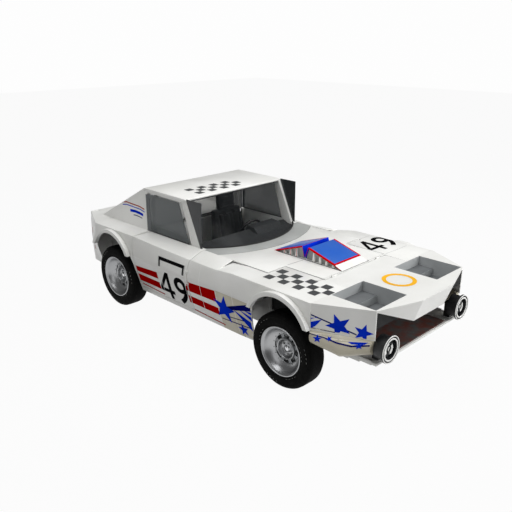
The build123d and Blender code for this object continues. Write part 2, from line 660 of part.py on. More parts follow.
def cabin():
    wall_x, wall_top = FIREWALL_X, DECK_Z - 24
    foot = FLOOR_TOP_Z - 12
    floor = block(-940, wall_x, -ROOF_HALF - 5, ROOF_HALF + 5, foot, FLOOR_TOP_Z)
    for side in SIDES.values():
        sill = block(DOOR_REAR_X, DOOR_FRONT_X, ROOF_HALF, ROCKER_INNER_Y - CLEARANCE, foot, FLOOR_TOP_Z)
        floor += on_side(sill, side)
    bulkhead = block(-940, -928, -QUARTER_RAIL_Y, QUARTER_RAIL_Y, FLOOR_TOP_Z, wall_top)
    firewall = block(wall_x, wall_x + 12, -QUARTER_RAIL_Y, QUARTER_RAIL_Y, foot, wall_top)
    firewall += block(wall_x, wall_x + 12, -480, 480, wall_top - 1, DECK_Z - 8 - CLEARANCE)
    tunnel = block(-928, wall_x, -110, 110, FLOOR_TOP_Z, 420) - block(-928, wall_x, -98, 98, 250, 408)
    keep("cabin_tub", one(floor + bulkhead + firewall + tunnel))
    rockers = []
    for side in SIDES.values():
        top = DOOR_FOOT_Z - PANEL_GAP
        section = [(ROCKER_INNER_Y, SILL_Z), (SILL_HALF, SILL_Z), (SILL_HALF + 16, top), (ROCKER_INNER_Y, top)]
        x0 = DOOR_REAR_X - PANEL_GAP + CLEARANCE
        x1 = DOOR_FRONT_X + PANEL_GAP - CLEARANCE
        face = make_face(Polyline(*[(x0, y, z) for y, z in section], close=True))
        rockers.append(on_side(extrude(face, amount=x1 - x0, dir=(1, 0, 0)), side))
    keep("rockers", *rockers)
    front = block(1560, 1640, -460, 460, 300, RAIL_TOP_Z)
    for x in (520, 880):
        front += block(x, x + 60, -430, 430, 270, ENGINE_FOOT_Z - CLEARANCE)
    rear = block(TAIL_X + 62, TAIL_X + 122, -460, 460, 392, 452)
    for side in SIDES.values():
        front += on_side(block(FIREWALL_X + 12 + CLEARANCE, 1640, 400, 460, 300, RAIL_TOP_Z), side)
        rear += on_side(block(TAIL_X + 62, -940 - CLEARANCE, 400, 460, 392, 452), side)
    keep("chassis_frame", one(front), one(rear))


def interior():
    top = DECK_Z - 8 - CLEARANCE
    half = SCREEN_HALF - 15
    dash = profile_y(
        [(-150, 700), (290, 700), (290, 880), (120, 880), (-60, 896), (-130, 925), (-190, 900)], -half, half
    )
    dash += block(230, 290, -500, 500, 870, top)
    hood = [(-188, 902), (-160, 962), (-60, 950), (10, 885)]
    dash += profile_y(hood, SEAT_Y - 190, SEAT_Y + 190)
    keep("dashboard", one(dash))
    inner, outer = SEAT_Y - SEAT_HALF, SEAT_Y + SEAT_HALF
    seat = profile_y([(-250, 430), (-255, 490), (-640, 462), (-735, 1100), (-800, 1100), (-760, 430)], inner, outer)
    wing = [(-262, 430), (-262, 545), (-560, 560), (-640, 640), (-690, 1010), (-790, 1040), (-760, 430)]
    seat += profile_y(wing, inner, inner + 52) + profile_y(wing, outer - 52, outer)
    seat += profile_y([(-715, 1095), (-735, 1225), (-795, 1225), (-800, 1095)], SEAT_Y - 130, SEAT_Y + 130)
    for y in (SEAT_Y - 150, SEAT_Y + 110):
        seat += block(-720, -300, y, y + 40, FLOOR_TOP_Z + CLEARANCE, 440)
    keep("driver_seat", one(seat))
    hoop = []
    r = 20
    for side in SIDES.values():
        hoop.append(tube((-880, side * 600, FLOOR_TOP_Z + CLEARANCE), (-880, side * 600, 1280), r))
    hoop.append(tube((-880, -600, 1280), (-880, 600, 1280), r))
    hoop.append(Pos(-880, 600, 1280) * Sphere(r))
    hoop.append(Pos(-880, -600, 1280) * Sphere(r))
    cage = hoop[0]
    for piece in hoop[1:]:
        cage += piece
    keep("roll_hoop", one(cage))
    centre = Plane(origin=(-330, SEAT_Y, 800), z_dir=(-cos(radians(22)), 0, sin(radians(22))))
    rim = Torus(165, 14)
    spokes = Box(330, 26, 6) + Cylinder(32, 20)
    keep("steering_wheel", one(centre * (rim + spokes)))
    column = centre * Pos(0, 0, -120 - CLEARANCE) * Cylinder(20, 220)
    keep("steering_column", (column - dash).solids().sort_by(Axis.X)[0])


def drivetrain():
    keep("engine_block", block(480, 980, -230, 230, ENGINE_FOOT_Z, 780))
    x = AXLE_X["front"]
    arms = block(x - 60, x + 60, -400, 400, 226, 300 - CLEARANCE)
    for side in SIDES.values():
        reach = KINGPIN_Y + 16
        arms += on_side(block(x - 30, x + 30, 380, reach, LOWER_ARM_Z - 20, LOWER_ARM_Z), side)
        arms += on_side(block(x - 30, x + 30, 466, reach, UPPER_ARM_Z, UPPER_ARM_Z + 20), side)
        arms += on_side(block(x - 30, x + 30, 466, 490, 250, UPPER_ARM_Z + 20), side)
        arms += on_side(block(x - 30, x + 30, 380, 490, 240, 270), side)
        pin = Cylinder(BALL_PIN, 30)
        arms += on_side(Pos(x, KINGPIN_Y, LOWER_ARM_Z + 14) * pin, side)
        arms += on_side(Pos(x, KINGPIN_Y, UPPER_ARM_Z - 14) * pin, side)
    keep("front_suspension", one(arms))
    x = AXLE_X["rear"]
    axle = Pos(x, 0, TYRE_RADIUS) * Rot(90, 0, 0) * Cylinder(34, 2 * (KINGPIN_Y - 25))
    axle += Pos(x, 0, TYRE_RADIUS) * Sphere(130)
    axle += Pos(x, 0, TYRE_RADIUS) * Rot(90, 0, 0) * Cylinder(HUB_BORE_RADIUS, 2 * (DISC_Y + 24))
    for side in SIDES.values():
        axle += on_side(block(x - 40, x + 40, 396, 464, 350, 392 - CLEARANCE), side)
    keep("rear_axle", one(axle))


def exhaust():
    """Two straight pipes with silencers, hung under the floor."""
    pipes = []
    z = FLOOR_TOP_Z - 48
    tail = TAIL_X + 30
    for side in SIDES.values():
        y = side * EXHAUST_Y
        pipe = tube((tail, y, z), (FIREWALL_X + 60, y, z), EXHAUST_RADIUS)
        pipe -= tube((tail - 1, y, z), (tail + 200, y, z), EXHAUST_RADIUS - 3)
        pipe += tube((tail + 190, y, z), (tail + 520, y, z), EXHAUST_RADIUS * 2)
        for x in (-780.0, 160.0):
            pipe += block(x - 15, x + 15, y - 4, y + 4, z, FLOOR_TOP_Z - 12 - CLEARANCE)
        pipes.append(one(pipe))
    keep("exhaust_pipes", *pipes)


def knuckles():
    x = AXLE_X["front"]
    low, high = LOWER_ARM_Z + 6, UPPER_ARM_Z - 6
    reach = DISC_Y + 24 - KINGPIN_Y
    for name, side in SIDES.items():
        upright = block(x - 36, x + 36, KINGPIN_Y - 24, KINGPIN_Y + 26, low, high)
        for z in (low, high):
            upright -= Pos(x, KINGPIN_Y, z) * Cylinder(BALL_PIN + HUB_CLEARANCE, 50)
        spindle = Pos(x, KINGPIN_Y + 12 + reach / 2 - 6, TYRE_RADIUS) * Rot(90, 0, 0) * Cylinder(
            HUB_BORE_RADIUS, reach - 12
        )
        keep(f"steering_knuckle_{name}", on_side(one(upright + spindle), side))


def wheel_pieces():
    """Tyre and rim drawn about the Y axis, outer face towards +Y."""
    half = TYRE_WIDTH / 2
    seat = RIM_SEAT_RADIUS
    tyre = [
        (seat, -half + 14),
        (TYRE_RADIUS - 52, -half),
        (TYRE_RADIUS - 16, -half + 8),
        (TYRE_RADIUS, -half + 26),
        (TYRE_RADIUS, half - 26),
        (TYRE_RADIUS - 16, half - 8),
        (TYRE_RADIUS - 52, half),
        (seat, half - 14),
    ]
    tyre_face = make_face(Polyline(*[(r, y, 0) for r, y in tyre], close=True))
    tyre_solid = revolve(tyre_face, axis=Axis.Y)
    lip = RIM_LIP_RADIUS
    disc = DISC_Y - WHEEL_CENTRE_Y
    bore = HUB_BORE_RADIUS + HUB_CLEARANCE
    rim = [
        (seat - CLEARANCE, -half + 14),
        (seat - CLEARANCE, half - 14),
        (lip, half - 8),
        (lip, half - 1),
        (seat - 12, half - 6),
        (seat - 40, disc + 10),
        (92, disc + 14),
        (84, disc + 40),
        (60, disc + 40),
        (60, disc + 28),
        (bore, disc + 28),
        (bore, disc - 14),
        (84, disc - 14),
        (92, disc - 4),
        (seat - 46, disc - 6),
        (seat - 16, -half + 20),
        (seat - 16, -half + 14),
    ]
    rim_face = make_face(Polyline(*[(r, y, 0) for r, y in rim], close=True))
    rim_solid = revolve(rim_face, axis=Axis.Y)
    slots = 10
    for index in range(slots):
        angle = 360.0 * index / slots
        slot = Rot(0, angle, 0) * Pos(130, disc, 0) * Box(34, 60, 30)
        rim_solid -= slot
    return one(tyre_solid), one(rim_solid)


def wheels():
    tyre, rim = wheel_pieces()
    for end, x in AXLE_X.items():
        for name, side in SIDES.items():
            place = Pos(x, WHEEL_CENTRE_Y, TYRE_RADIUS)
            keep(f"tyre_{end}_{name}", on_side(place * tyre, side))
            keep(f"rim_{end}_{name}", on_side(place * rim, side))


def write_parts():
    os.makedirs("parts", exist_ok=True)
    for name, solids in made.items():
        moved = [Pos(-MID_X, 0, 0) * solid for solid in solids]
        shape = moved[0] if len(moved) == 1 else Compound(children=moved)
        export_step(shape, f"parts/{name}.step")


front_fenders()
rear_quarters()
tail_panel()
doors()
roof()
glazing()
cowl()
bonnet()
bonnet_scoop()
nose()
corner_bumpers()
lower_front()
wheel_flares()
wheel_liners()
cabin()
interior()
drivetrain()
exhaust()
knuckles()
wheels()
write_parts()
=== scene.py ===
"""Looks of race car 49, a 1970s V8 coupe: painted panels with rounded edges, livery laid
on the bodywork, slick tyres on deep-dish wheels, lamps, scoop, glass and cabin.
All places are in metres in the frame's own axes: +X to the nose, +Y to the car's left."""

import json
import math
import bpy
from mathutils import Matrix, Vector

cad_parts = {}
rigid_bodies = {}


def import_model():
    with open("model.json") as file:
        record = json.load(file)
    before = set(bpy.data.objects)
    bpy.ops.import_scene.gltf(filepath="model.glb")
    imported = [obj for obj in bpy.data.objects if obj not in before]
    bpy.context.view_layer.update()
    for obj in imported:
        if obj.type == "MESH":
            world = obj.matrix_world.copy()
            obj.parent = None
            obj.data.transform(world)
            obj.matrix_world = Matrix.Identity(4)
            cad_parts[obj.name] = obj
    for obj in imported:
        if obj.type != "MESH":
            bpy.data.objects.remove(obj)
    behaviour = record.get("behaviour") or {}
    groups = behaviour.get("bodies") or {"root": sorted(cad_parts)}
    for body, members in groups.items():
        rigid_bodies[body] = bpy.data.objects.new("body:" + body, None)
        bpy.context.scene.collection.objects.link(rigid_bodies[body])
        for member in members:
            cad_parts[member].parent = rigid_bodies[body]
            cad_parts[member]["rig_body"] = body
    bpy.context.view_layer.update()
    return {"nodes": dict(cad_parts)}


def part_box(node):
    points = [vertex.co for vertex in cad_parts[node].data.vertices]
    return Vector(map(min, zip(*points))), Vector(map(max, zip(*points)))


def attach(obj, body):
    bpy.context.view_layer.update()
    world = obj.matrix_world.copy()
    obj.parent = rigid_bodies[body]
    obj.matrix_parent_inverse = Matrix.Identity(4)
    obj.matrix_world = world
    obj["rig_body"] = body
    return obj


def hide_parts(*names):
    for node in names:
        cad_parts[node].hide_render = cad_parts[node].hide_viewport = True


bl_info = {
    "name": "Race car 49",
    "version": (1, 0, 0),
    "blender": (4, 5, 0),
    "location": "View3D > Sidebar > Race car",
    "description": "Finishes, livery and fittings of a coupe race car on its CAD frame",
    "category": "Object",
}

import bmesh
import bpy
from mathutils import Matrix, Vector
from mathutils.bvhtree import BVHTree

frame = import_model()

RIGHT, LEFT = -1, 1
SIDE_NAMES = {RIGHT: "right", LEFT: "left"}
MM = 0.001
finishes = {}
panels = {}


# Small tools
def linear(tone):
    """Linear RGBA of an sRGB hex tone."""
    parts = [int(tone[i : i + 2], 16) / 255 for i in (1, 3, 5)]
    return [c / 12.92 if c <= 0.04045 else ((c + 0.055) / 1.055) ** 2.4 for c in parts] + [1.0]


def add(tree, kind, inputs=None, **settings):
    """Add one node with its settings, and its sockets' values or links; a node stands for its
    first output."""
    made = tree.nodes.new(kind)
    for name, value in settings.items():
        setattr(made, name, value)
    for key, value in (inputs or {}).items():
        if isinstance(value, bpy.types.Node):
            value = value.outputs[0]
        if isinstance(value, bpy.types.NodeSocket):
            tree.links.new(value, made.inputs[key])
        else:
            made.inputs[key].default_value = value
    return made


def empty_tree(owner):
    """Node tree of a material or world, with nothing in it."""
    owner.use_nodes = True
    owner.node_tree.nodes.clear()
    return owner.node_tree


def new_piece(name, mesh, body, *materials, smooth=40):
    """Object of a finished mesh: materials, shading by angle in degrees, riding on its body."""
    piece = bpy.data.objects.new(name, mesh)
    bpy.context.scene.collection.objects.link(piece)
    for material in materials:
        mesh.materials.append(finishes[material])
    if smooth:
        mesh.shade_smooth()
        mesh.set_sharp_from_angle(angle=math.radians(smooth))
    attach(piece, body)
    return piece


def mesh_of(bm, name, turn_out=True):
    """Mesh of a bmesh, doubles merged and faces turned outwards."""
    bmesh.ops.remove_doubles(bm, verts=bm.verts, dist=1e-5)
    if turn_out:
        bmesh.ops.recalc_face_normals(bm, faces=bm.faces)
    mesh = bpy.data.meshes.new(name)
    bm.to_mesh(mesh)
    bm.free()
    return mesh


def form(name, *shapes):
    """Mesh of several shapes, each given as its maker and what the maker takes."""
    bm = bmesh.new()
    for maker, *arguments in shapes:
        maker(bm, *arguments)
    return mesh_of(bm, name)


def build(name, body, finish, *shapes, smooth=40, edge=()):
    """Piece of several shapes; edge is the width, segments and angle of its rounding."""
    mesh = form(name, *shapes)
    return new_piece(name, bevelled(mesh, *edge) if edge else mesh, body, finish, smooth=smooth)


def baked(data, prepare=None):
    """Plain mesh of an object's data, after prepare has given its holder modifiers."""
    holder = bpy.data.objects.new("holder", data)
    bpy.context.scene.collection.objects.link(holder)
    if prepare:
        prepare(holder)
    graph = bpy.context.evaluated_depsgraph_get()
    mesh = bpy.data.meshes.new_from_object(holder.evaluated_get(graph))
    bpy.data.objects.remove(holder)
    return mesh


def modified(mesh, **modifiers):
    """Mesh after modifiers, given as kind=settings, are applied in order."""
    def prepare(holder):
        for kind, settings in modifiers.items():
            modifier = holder.modifiers.new(kind, kind)
            for key, value in settings.items():
                setattr(modifier, key, value)
    return baked(mesh, prepare)


def bevelled(mesh, width, segments=2, angle=32):
    """Mesh with its sharp edges rounded."""
    return modified(mesh, BEVEL={"width": width, "segments": segments, "limit_method": "ANGLE",
                                 "angle_limit": math.radians(angle), "use_clamp_overlap": True})


def cad_copy(node, width):
    """Merged copy of a CAD node's mesh, flat facets dissolved and edges rounded."""
    bm = bmesh.new()
    bm.from_mesh(frame["nodes"][node].data)
    bmesh.ops.remove_doubles(bm, verts=bm.verts, dist=1e-5)
    bmesh.ops.dissolve_limit(bm, angle_limit=math.radians(0.6), verts=bm.verts, edges=bm.edges)
    mesh = bevelled(mesh_of(bm, node, turn_out=False), width)
    mesh.materials.clear()
    return mesh


def around(centre, radius, angle, axis="Y", along=0.0):
    """Place on a circle round an axis through a centre, some way along the axis."""
    c, s = radius * math.cos(angle), radius * math.sin(angle)
    return Vector(centre) + Vector({"X": (along, c, s), "Y": (c, along, s), "Z": (c, s, along)}[axis])


def skin(bm, rows, closed=False):
    """Add faces between loops of places: all the way round, or as a bar with two end faces."""
    loops = [[bm.verts.new(place) for place in row] for row in rows]
    for here, there in zip(loops, loops[1:] + loops[:1] if closed else loops[1:]):
        for i in range(len(here)):
            j = (i + 1) % len(here)
            bm.faces.new((here[i], there[i], there[j], here[j]))
    if not closed:
        bm.faces.new(loops[0])
        bm.faces.new(loops[-1][::-1])


def lathe(bm, profile, segments, centre=(0, 0, 0), axis="Y"):
    """Add a closed ring turned about an axis: profile rows are radius and place along it."""
    turns = [2 * math.pi * step / segments for step in range(segments)]
    skin(bm, [[around(centre, radius, turn, axis, along) for radius, along in profile] for turn in turns],
         closed=True)


def prism(bm, outline, start, end, plane="XZ"):
    """Add a prism of a flat outline between two places across its plane."""
    order = {"XZ": (0, 2, 1), "XY": (0, 1, 2), "YZ": (2, 0, 1)}[plane]
    low, high = ([bm.verts.new([(u, v, w)[i] for i in order]) for u, v in outline]
                 for w in sorted((start, end)))
    bm.faces.new(low)
    bm.faces.new(high[::-1])
    for i in range(len(outline)):
        j = (i + 1) % len(outline)
        bm.faces.new((low[j], low[i], high[i], high[j]))


def brick(bm, low, high):
    """Add a box between two corners."""
    xs, ys, zs = (sorted(pair) for pair in zip(low, high))
    verts = [bm.verts.new((x, y, z)) for z in zs for x, y in rect(*xs, *ys)]
    for face in ((0, 3, 2, 1), (4, 5, 6, 7), (0, 1, 5, 4), (1, 2, 6, 5), (2, 3, 7, 6), (3, 0, 4, 7)):
        bm.faces.new([verts[i] for i in face])


def rect(u0, u1, v0, v1):
    """Outline of a rectangle."""
    return [(u0, v0), (u1, v0), (u1, v1), (u0, v1)]


def tube(points, radius, sides=12, closed=False):
    """Mesh of a round bar along points."""
    curve = bpy.data.curves.new("bar", "CURVE")
    curve.dimensions = "3D"
    curve.bevel_depth = radius
    curve.bevel_resolution = max(0, sides // 4 - 1)
    curve.use_fill_caps = not closed
    spline = curve.splines.new("POLY")
    spline.points.add(len(points) - 1)
    for point, place in zip(spline.points, points):
        point.co = (*place, 1)
    spline.use_cyclic_u = closed
    return baked(curve)


def joined(name, *meshes):
    """One mesh of several."""
    bm = bmesh.new()
    for mesh in meshes:
        bm.from_mesh(mesh)
    result = bpy.data.meshes.new(name)
    bm.to_mesh(result)
    bm.free()
    return result


# Settings
def hex_setting(name, default, note):
    """Setting of one colour."""
    return bpy.props.StringProperty(name=name, description=note, default=default)


def length_setting(name, default, note):
    """Setting of one length in metres."""
    return bpy.props.FloatProperty(name=name, description=note, default=default, unit="LENGTH")


class CarColours(bpy.types.PropertyGroup):
    """Colours of the paint, livery and trim, as sRGB hex."""

    white: hex_setting("Body white", "#f1f1ee", "Enamel of the panels")
    # Light, so that the band also paints the light on the rounded top of the corner bumps
    cream: hex_setting("Cream", "#efe9d8", "Upper band of the front corners")
    beige: hex_setting("Beige", "#cfc9b6", "Ground of the blue livery")
    red: hex_setting("Stripe red", "#ba0202", "Side stripes")
    signal: hex_setting("Signal red", "#d40a0a", "Scoop border")
    blue: hex_setting("Star blue", "#0a36d8", "Stars and wedges")
    scoop: hex_setting("Scoop blue", "#1459c0", "Top of the scoop")
    navy: hex_setting("Navy", "#06106e", "Fine lines")
    black: hex_setting("Number black", "#0b0b0c", "Numbers")
    glass: hex_setting("Smoked glass", "#51585a", "Tint of the windows")


class CarSizes(bpy.types.PropertyGroup):
    """Sizes of the detail, in metres."""

    lift: length_setting("Film lift", 0.8 * MM, "Height of the livery film over the paint")
    edge: length_setting("Panel edge", 2.5 * MM, "Rounding of the panel edges")
    rivet: length_setting("Rivet head", 5 * MM, "Radius of a rivet's head")
    rivet_step: length_setting("Rivet spacing", 36 * MM, "Distance between rivets")
    number_height: length_setting("Number height", 0.31, "Height of the side numbers")


# Materials
COAT = {"Coat Weight": 0.25, "Coat Roughness": 0.15, "Specular IOR Level": 0.3}
FILM = {"Specular IOR Level": 0.0}
METAL = {"Metallic": 1.0}
# Name, tone or colour setting, second tone, patch in metres, roughness and its spread, grain and
# depth of the bumps in millimetres, shader values
FINISHES = (
    # Two-pack enamel, sprayed: a soft gloss with faint orange peel and road film
    ("white_enamel", "white", "#e6e6e2", 0.55, 0.36, 0.06, 6, 0.05, COAT),
    # Cream enamel made light: cream livery with painted light on the top of the corner bumps
    ("cream_enamel", "cream", "#e6dfcb", 0.3, 0.38, 0.06, 6, 0.05, COAT),
    ("beige_enamel", "beige", "#c3bca7", 0.3, 0.40, 0.06, 6, 0.05, COAT),
    ("scoop_blue_enamel", "scoop", "#2a62be", 0.3, 0.34, 0.05, 5, 0.04, COAT),
    # Calendered vinyl film: even colour, satin, with the slight texture of the paint below
    ("red_film", "red", "#a80202", 0.25, 0.5, 0.06, 5, 0.04, FILM),
    ("signal_red_film", "signal", "#be0808", 0.25, 0.5, 0.06, 5, 0.04, FILM),
    ("blue_film", "blue", "#082cba", 0.2, 0.5, 0.06, 5, 0.04, FILM),
    ("navy_film", "navy", "#050c58", 0.2, 0.5, 0.06, 5, 0.04, FILM),
    ("black_film", "black", "#151517", 0.2, 0.5, 0.06, 5, 0.04, FILM),
    ("amber_film", "#f2b632", "#e2a92c", 0.2, 0.5, 0.06, 5, 0.04, FILM),
    ("charcoal_film", "#4a4c4d", "#3f4142", 0.2, 0.4, 0.05, 5, 0.04, {}),
    ("seam_grey_film", "#9c9e9c", "#8d8f8d", 0.1, 0.5, 0.05, 5, 0.04, {}),
    ("seam_white_film", "#f7f7f5", "#ecebe6", 0.1, 0.4, 0.05, 5, 0.04, {}),
    # Primer grey on inner panels: flat and a little chalky. The darker copy paints the shade on the floors of
    # the nose's bays and in the window openings, and is the grey of the window posts; the lighter copy paints
    # the light on the bays' walls
    ("grey_primer", "#a3a5a3", "#979997", 0.25, 0.62, 0.08, 3, 0.08, {}),
    ("dark_primer_and_painted_shade", "#6e7173", "#66696b", 0.2, 0.62, 0.08, 3, 0.08, {}),
    ("bay_wall_painted_light_primer", "#b6b9ba", "#acafb0", 0.2, 0.62, 0.08, 3, 0.08, {}),
    # Slick tyre rubber: moulded, near black, dusty sheen with fine scuffs
    ("slick_rubber", "#060606", "#0a0a09", 0.06, 0.82, 0.08, 1.6, 0.08, {"Specular IOR Level": 0.1}),
    ("scuffed_tread_rubber", "#0a0a0a", "#101010", 0.03, 0.88, 0.08, 1.2, 0.2, {"Specular IOR Level": 0.1}),
    ("pale_sidewall_dashes", "#8f8f8c", "#6f6f6d", 0.02, 0.6, 0.1, 1, 0.05, {}),
    # Bare metals: spun dish in satin, castings, plated trim and fasteners
    ("spun_aluminium", "#acadae", "#a2a3a5", 0.3, 0.33, 0.02, 8, 0.001, METAL),
    ("cast_aluminium", "#8d8f91", "#77797b", 0.03, 0.42, 0.08, 1.4, 0.12, METAL),
    ("bright_chrome", "#dcdddf", "#d2d3d5", 0.2, 0.14, 0.02, 8, 0.001, METAL),
    ("zinc_steel", "#9b9d9d", "#838585", 0.02, 0.38, 0.08, 1, 0.04, METAL),
    # Black parts: powder-coated tube with a fine pebble, moulded plastic, rubber, and a flat black that
    # paints the shade in the wheel wells, the nose's mouth, the lamps, the wheels and the scoop
    ("black_powder_coat", "#121314", "#1b1c1d", 0.1, 0.46, 0.06, 1, 0.06, {}),
    ("moulded_black_plastic", "#17181a", "#202123", 0.08, 0.52, 0.08, 0.9, 0.08, {}),
    ("black_rubber_seal", "#0a0a0b", "#111112", 0.05, 0.66, 0.08, 1, 0.05, {}),
    ("painted_shade_black", "#050506", "#0a0a0b", 0.1, 0.85, 0.05, 2, 0.05, {}),
    # Sheet in the duct: dark grey steel, mottled with rust red
    ("mottled_duct_steel", "#4b4d4c", "#623024", 0.09, 0.72, 0.1, 2, 0.2, {}),
    ("cast_iron_paint", "#46494a", "#393c3d", 0.03, 0.55, 0.1, 2, 0.25, {}),
    # Woven seat cloth and padded trim; the trim board is near white, painted light for the cabin, which the
    # lamps hardly reach
    ("charcoal_seat_cloth", "#25272a", "#1c1e20", 0.05, 0.9, 0.05, 1.4, 0.35, {"Sheen Weight": 0.25}),
    ("harness_webbing", "#1d1e20", "#17181a", 0.02, 0.8, 0.05, 1.8, 0.3, {}),
    ("stitched_black_leather", "#131314", "#1b1b1c", 0.03, 0.5, 0.08, 1.2, 0.12, {}),
    ("dash_vinyl", "#1b1d1f", "#242628", 0.06, 0.66, 0.06, 1.5, 0.15, {}),
    ("trim_board_painted_light", "#eef0ee", "#e4e6e4", 0.12, 0.7, 0.06, 2, 0.1, {}),
    # Clear sheets: polycarbonate windows with a smoke tint, moulded red lens, lamp glass
    ("screen_polycarbonate", "#1d2224", "#1a1f21", 0.6, 0.08, 0.02, 40, 0.005, {"Alpha": 0.08}),
    ("smoked_polycarbonate", "glass", "#4a5153", 0.6, 0.08, 0.02, 40, 0.005, {"Alpha": 0.77}),
    ("grey_deflector_sheet", "#1f2325", "#1b1f21", 0.4, 0.2, 0.03, 40, 0.005, {"Alpha": 0.93}),
    ("rear_sheet", "#565b5d", "#505557", 0.6, 0.1, 0.02, 40, 0.005, {"Alpha": 0.35}),
    ("lamp_glass", "#20262a", "#1c2226", 0.3, 0.04, 0.02, 30, 0.01, {"Alpha": 0.3}),
    ("red_lens", "#b00c0c", "#960909", 0.05, 0.18, 0.05, 3, 0.1, {}),
    # White of the lamp rings and arcs: the outer ring paints an edge highlight, the arcs are painted
    # reflections
    ("lamp_white_painted_highlight", "#f4f4f2", "#ecece9", 0.05, 0.3, 0.05, 4, 0.02, {}),
)


def surface(name, tone, second, patch, rough, spread, grain, depth, shader):
    """Material with a mottle between two tones, a rough and smooth pattern and fine bumps."""
    material = bpy.data.materials.new(name)
    tree = empty_tree(material)
    place = add(tree, "ShaderNodeTexCoord").outputs["Object"]

    def noise(scale, detail):
        return add(tree, "ShaderNodeTexNoise", {"Vector": place, "Scale": scale, "Detail": detail})

    mottle, spots, bumps = noise(1 / patch, 5.0), noise(2.7 / patch, 3.0), noise(1 / (grain * MM), 2.0)
    blend = add(tree, "ShaderNodeMapRange", {"Value": mottle, "From Min": 0.35, "From Max": 0.65})
    colour = add(tree, "ShaderNodeMix", {0: blend, 6: linear(tone), 7: linear(second)},
                 data_type="RGBA")
    gloss = add(tree, "ShaderNodeMapRange", {"Value": spots, "From Min": 0.3, "From Max": 0.7,
                                             "To Min": rough - spread, "To Max": rough + spread})
    relief = add(tree, "ShaderNodeBump", {"Height": bumps, "Distance": depth * MM, "Strength": 1.0})
    shade = add(tree, "ShaderNodeBsdfPrincipled", {
        "Base Color": colour.outputs[2], "Roughness": gloss, "Normal": relief, **shader})
    add(tree, "ShaderNodeOutputMaterial", {"Surface": shade})
    finishes[name] = material


class RACECAR_OT_finishes(bpy.types.Operator):
    """Make every finish of the car"""

    bl_idname = "racecar.finishes"
    bl_label = "Finishes"

    def execute(self, context):
        tones = context.scene.racecar_colours
        for name, tone, *rest in FINISHES:
            surface(name, tone if tone.startswith("#") else getattr(tones, tone), *rest)
        return {"FINISHED"}


# Panels
# Open recesses of the nose: rear and front x, inner and outer y, floor and rim z
BAY = (1.494, 1.925, 0.237, 0.668, 0.752, 0.902)
WHITE_PANELS = (
    "front_fender_right", "front_fender_left", "rear_quarter_right", "rear_quarter_left", "tail_panel",
    "rear_deck", "door_right", "door_left", "roof", "bonnet", "nose_shell", "wheel_flares", "rockers",
    "splitter",
)
NODES_OF = {
    # Flat black on the wheel liners: painted shade in the wells
    "grey_primer": ("cowl",), "beige_enamel": ("corner_bumpers",), "painted_shade_black": ("wheel_liners",),
    # The cabin tub gets the near-white trim board: painted light in the cabin
    "mottled_duct_steel": ("radiator_duct",), "dash_vinyl": ("dashboard",), "trim_board_painted_light": ("cabin_tub",),
    "black_powder_coat": ("chassis_frame", "roll_hoop", "steering_column", "front_suspension", "rear_axle"),
    "cast_iron_paint": ("steering_knuckle_right", "steering_knuckle_left", "engine_block"),
    "screen_polycarbonate": ("windscreen",), "rear_sheet": ("rear_window",),
    "smoked_polycarbonate": ("door_glass_right", "door_glass_left"),
    "grey_deflector_sheet": ("deflector_panes",), "moulded_black_plastic": ("driving_lamps",),
    "lamp_glass": ("driving_lamp_lenses",), "red_lens": ("tail_lamps",),
    "charcoal_seat_cloth": ("driver_seat",), "stitched_black_leather": ("steering_wheel",),
    "white_enamel": ("bonnet_scoop",), "zinc_steel": ("exhaust_pipes",),
}
OTHER_FINISHES = {node: finish for finish, nodes in NODES_OF.items() for node in nodes}
SMOOTH_ANGLES = {"nose_shell": 8, "corner_bumpers": 45, "wheel_flares": 50}
# Height of the waist line under the glass, and of the underside of the nose's deck
WAIST, DECK = 0.906, 0.896


def paint_faces(piece, finish, test):
    """Give one more finish to the faces whose centre and normal pass a test."""
    mesh = piece.data
    mesh.materials.append(finishes[finish])
    index = len(mesh.materials) - 1
    for face in mesh.polygons:
        if test(face.center, face.normal):
            face.material_index = index


def body_of(node):
    """Name of the body that carries a CAD node."""
    return frame["nodes"][node]["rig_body"]


def in_bay(c, n):
    """Whether a face of the nose lies inside one of its open bays."""
    rear, front, inner, outer, floor, rim = BAY
    slack = 3 * MM
    return (rear - slack < c.x < front + slack and inner - slack < abs(c.y) < outer + slack
            and floor - slack < c.z < rim - 0.002 and abs(c.z - 0.904) > 0.004)


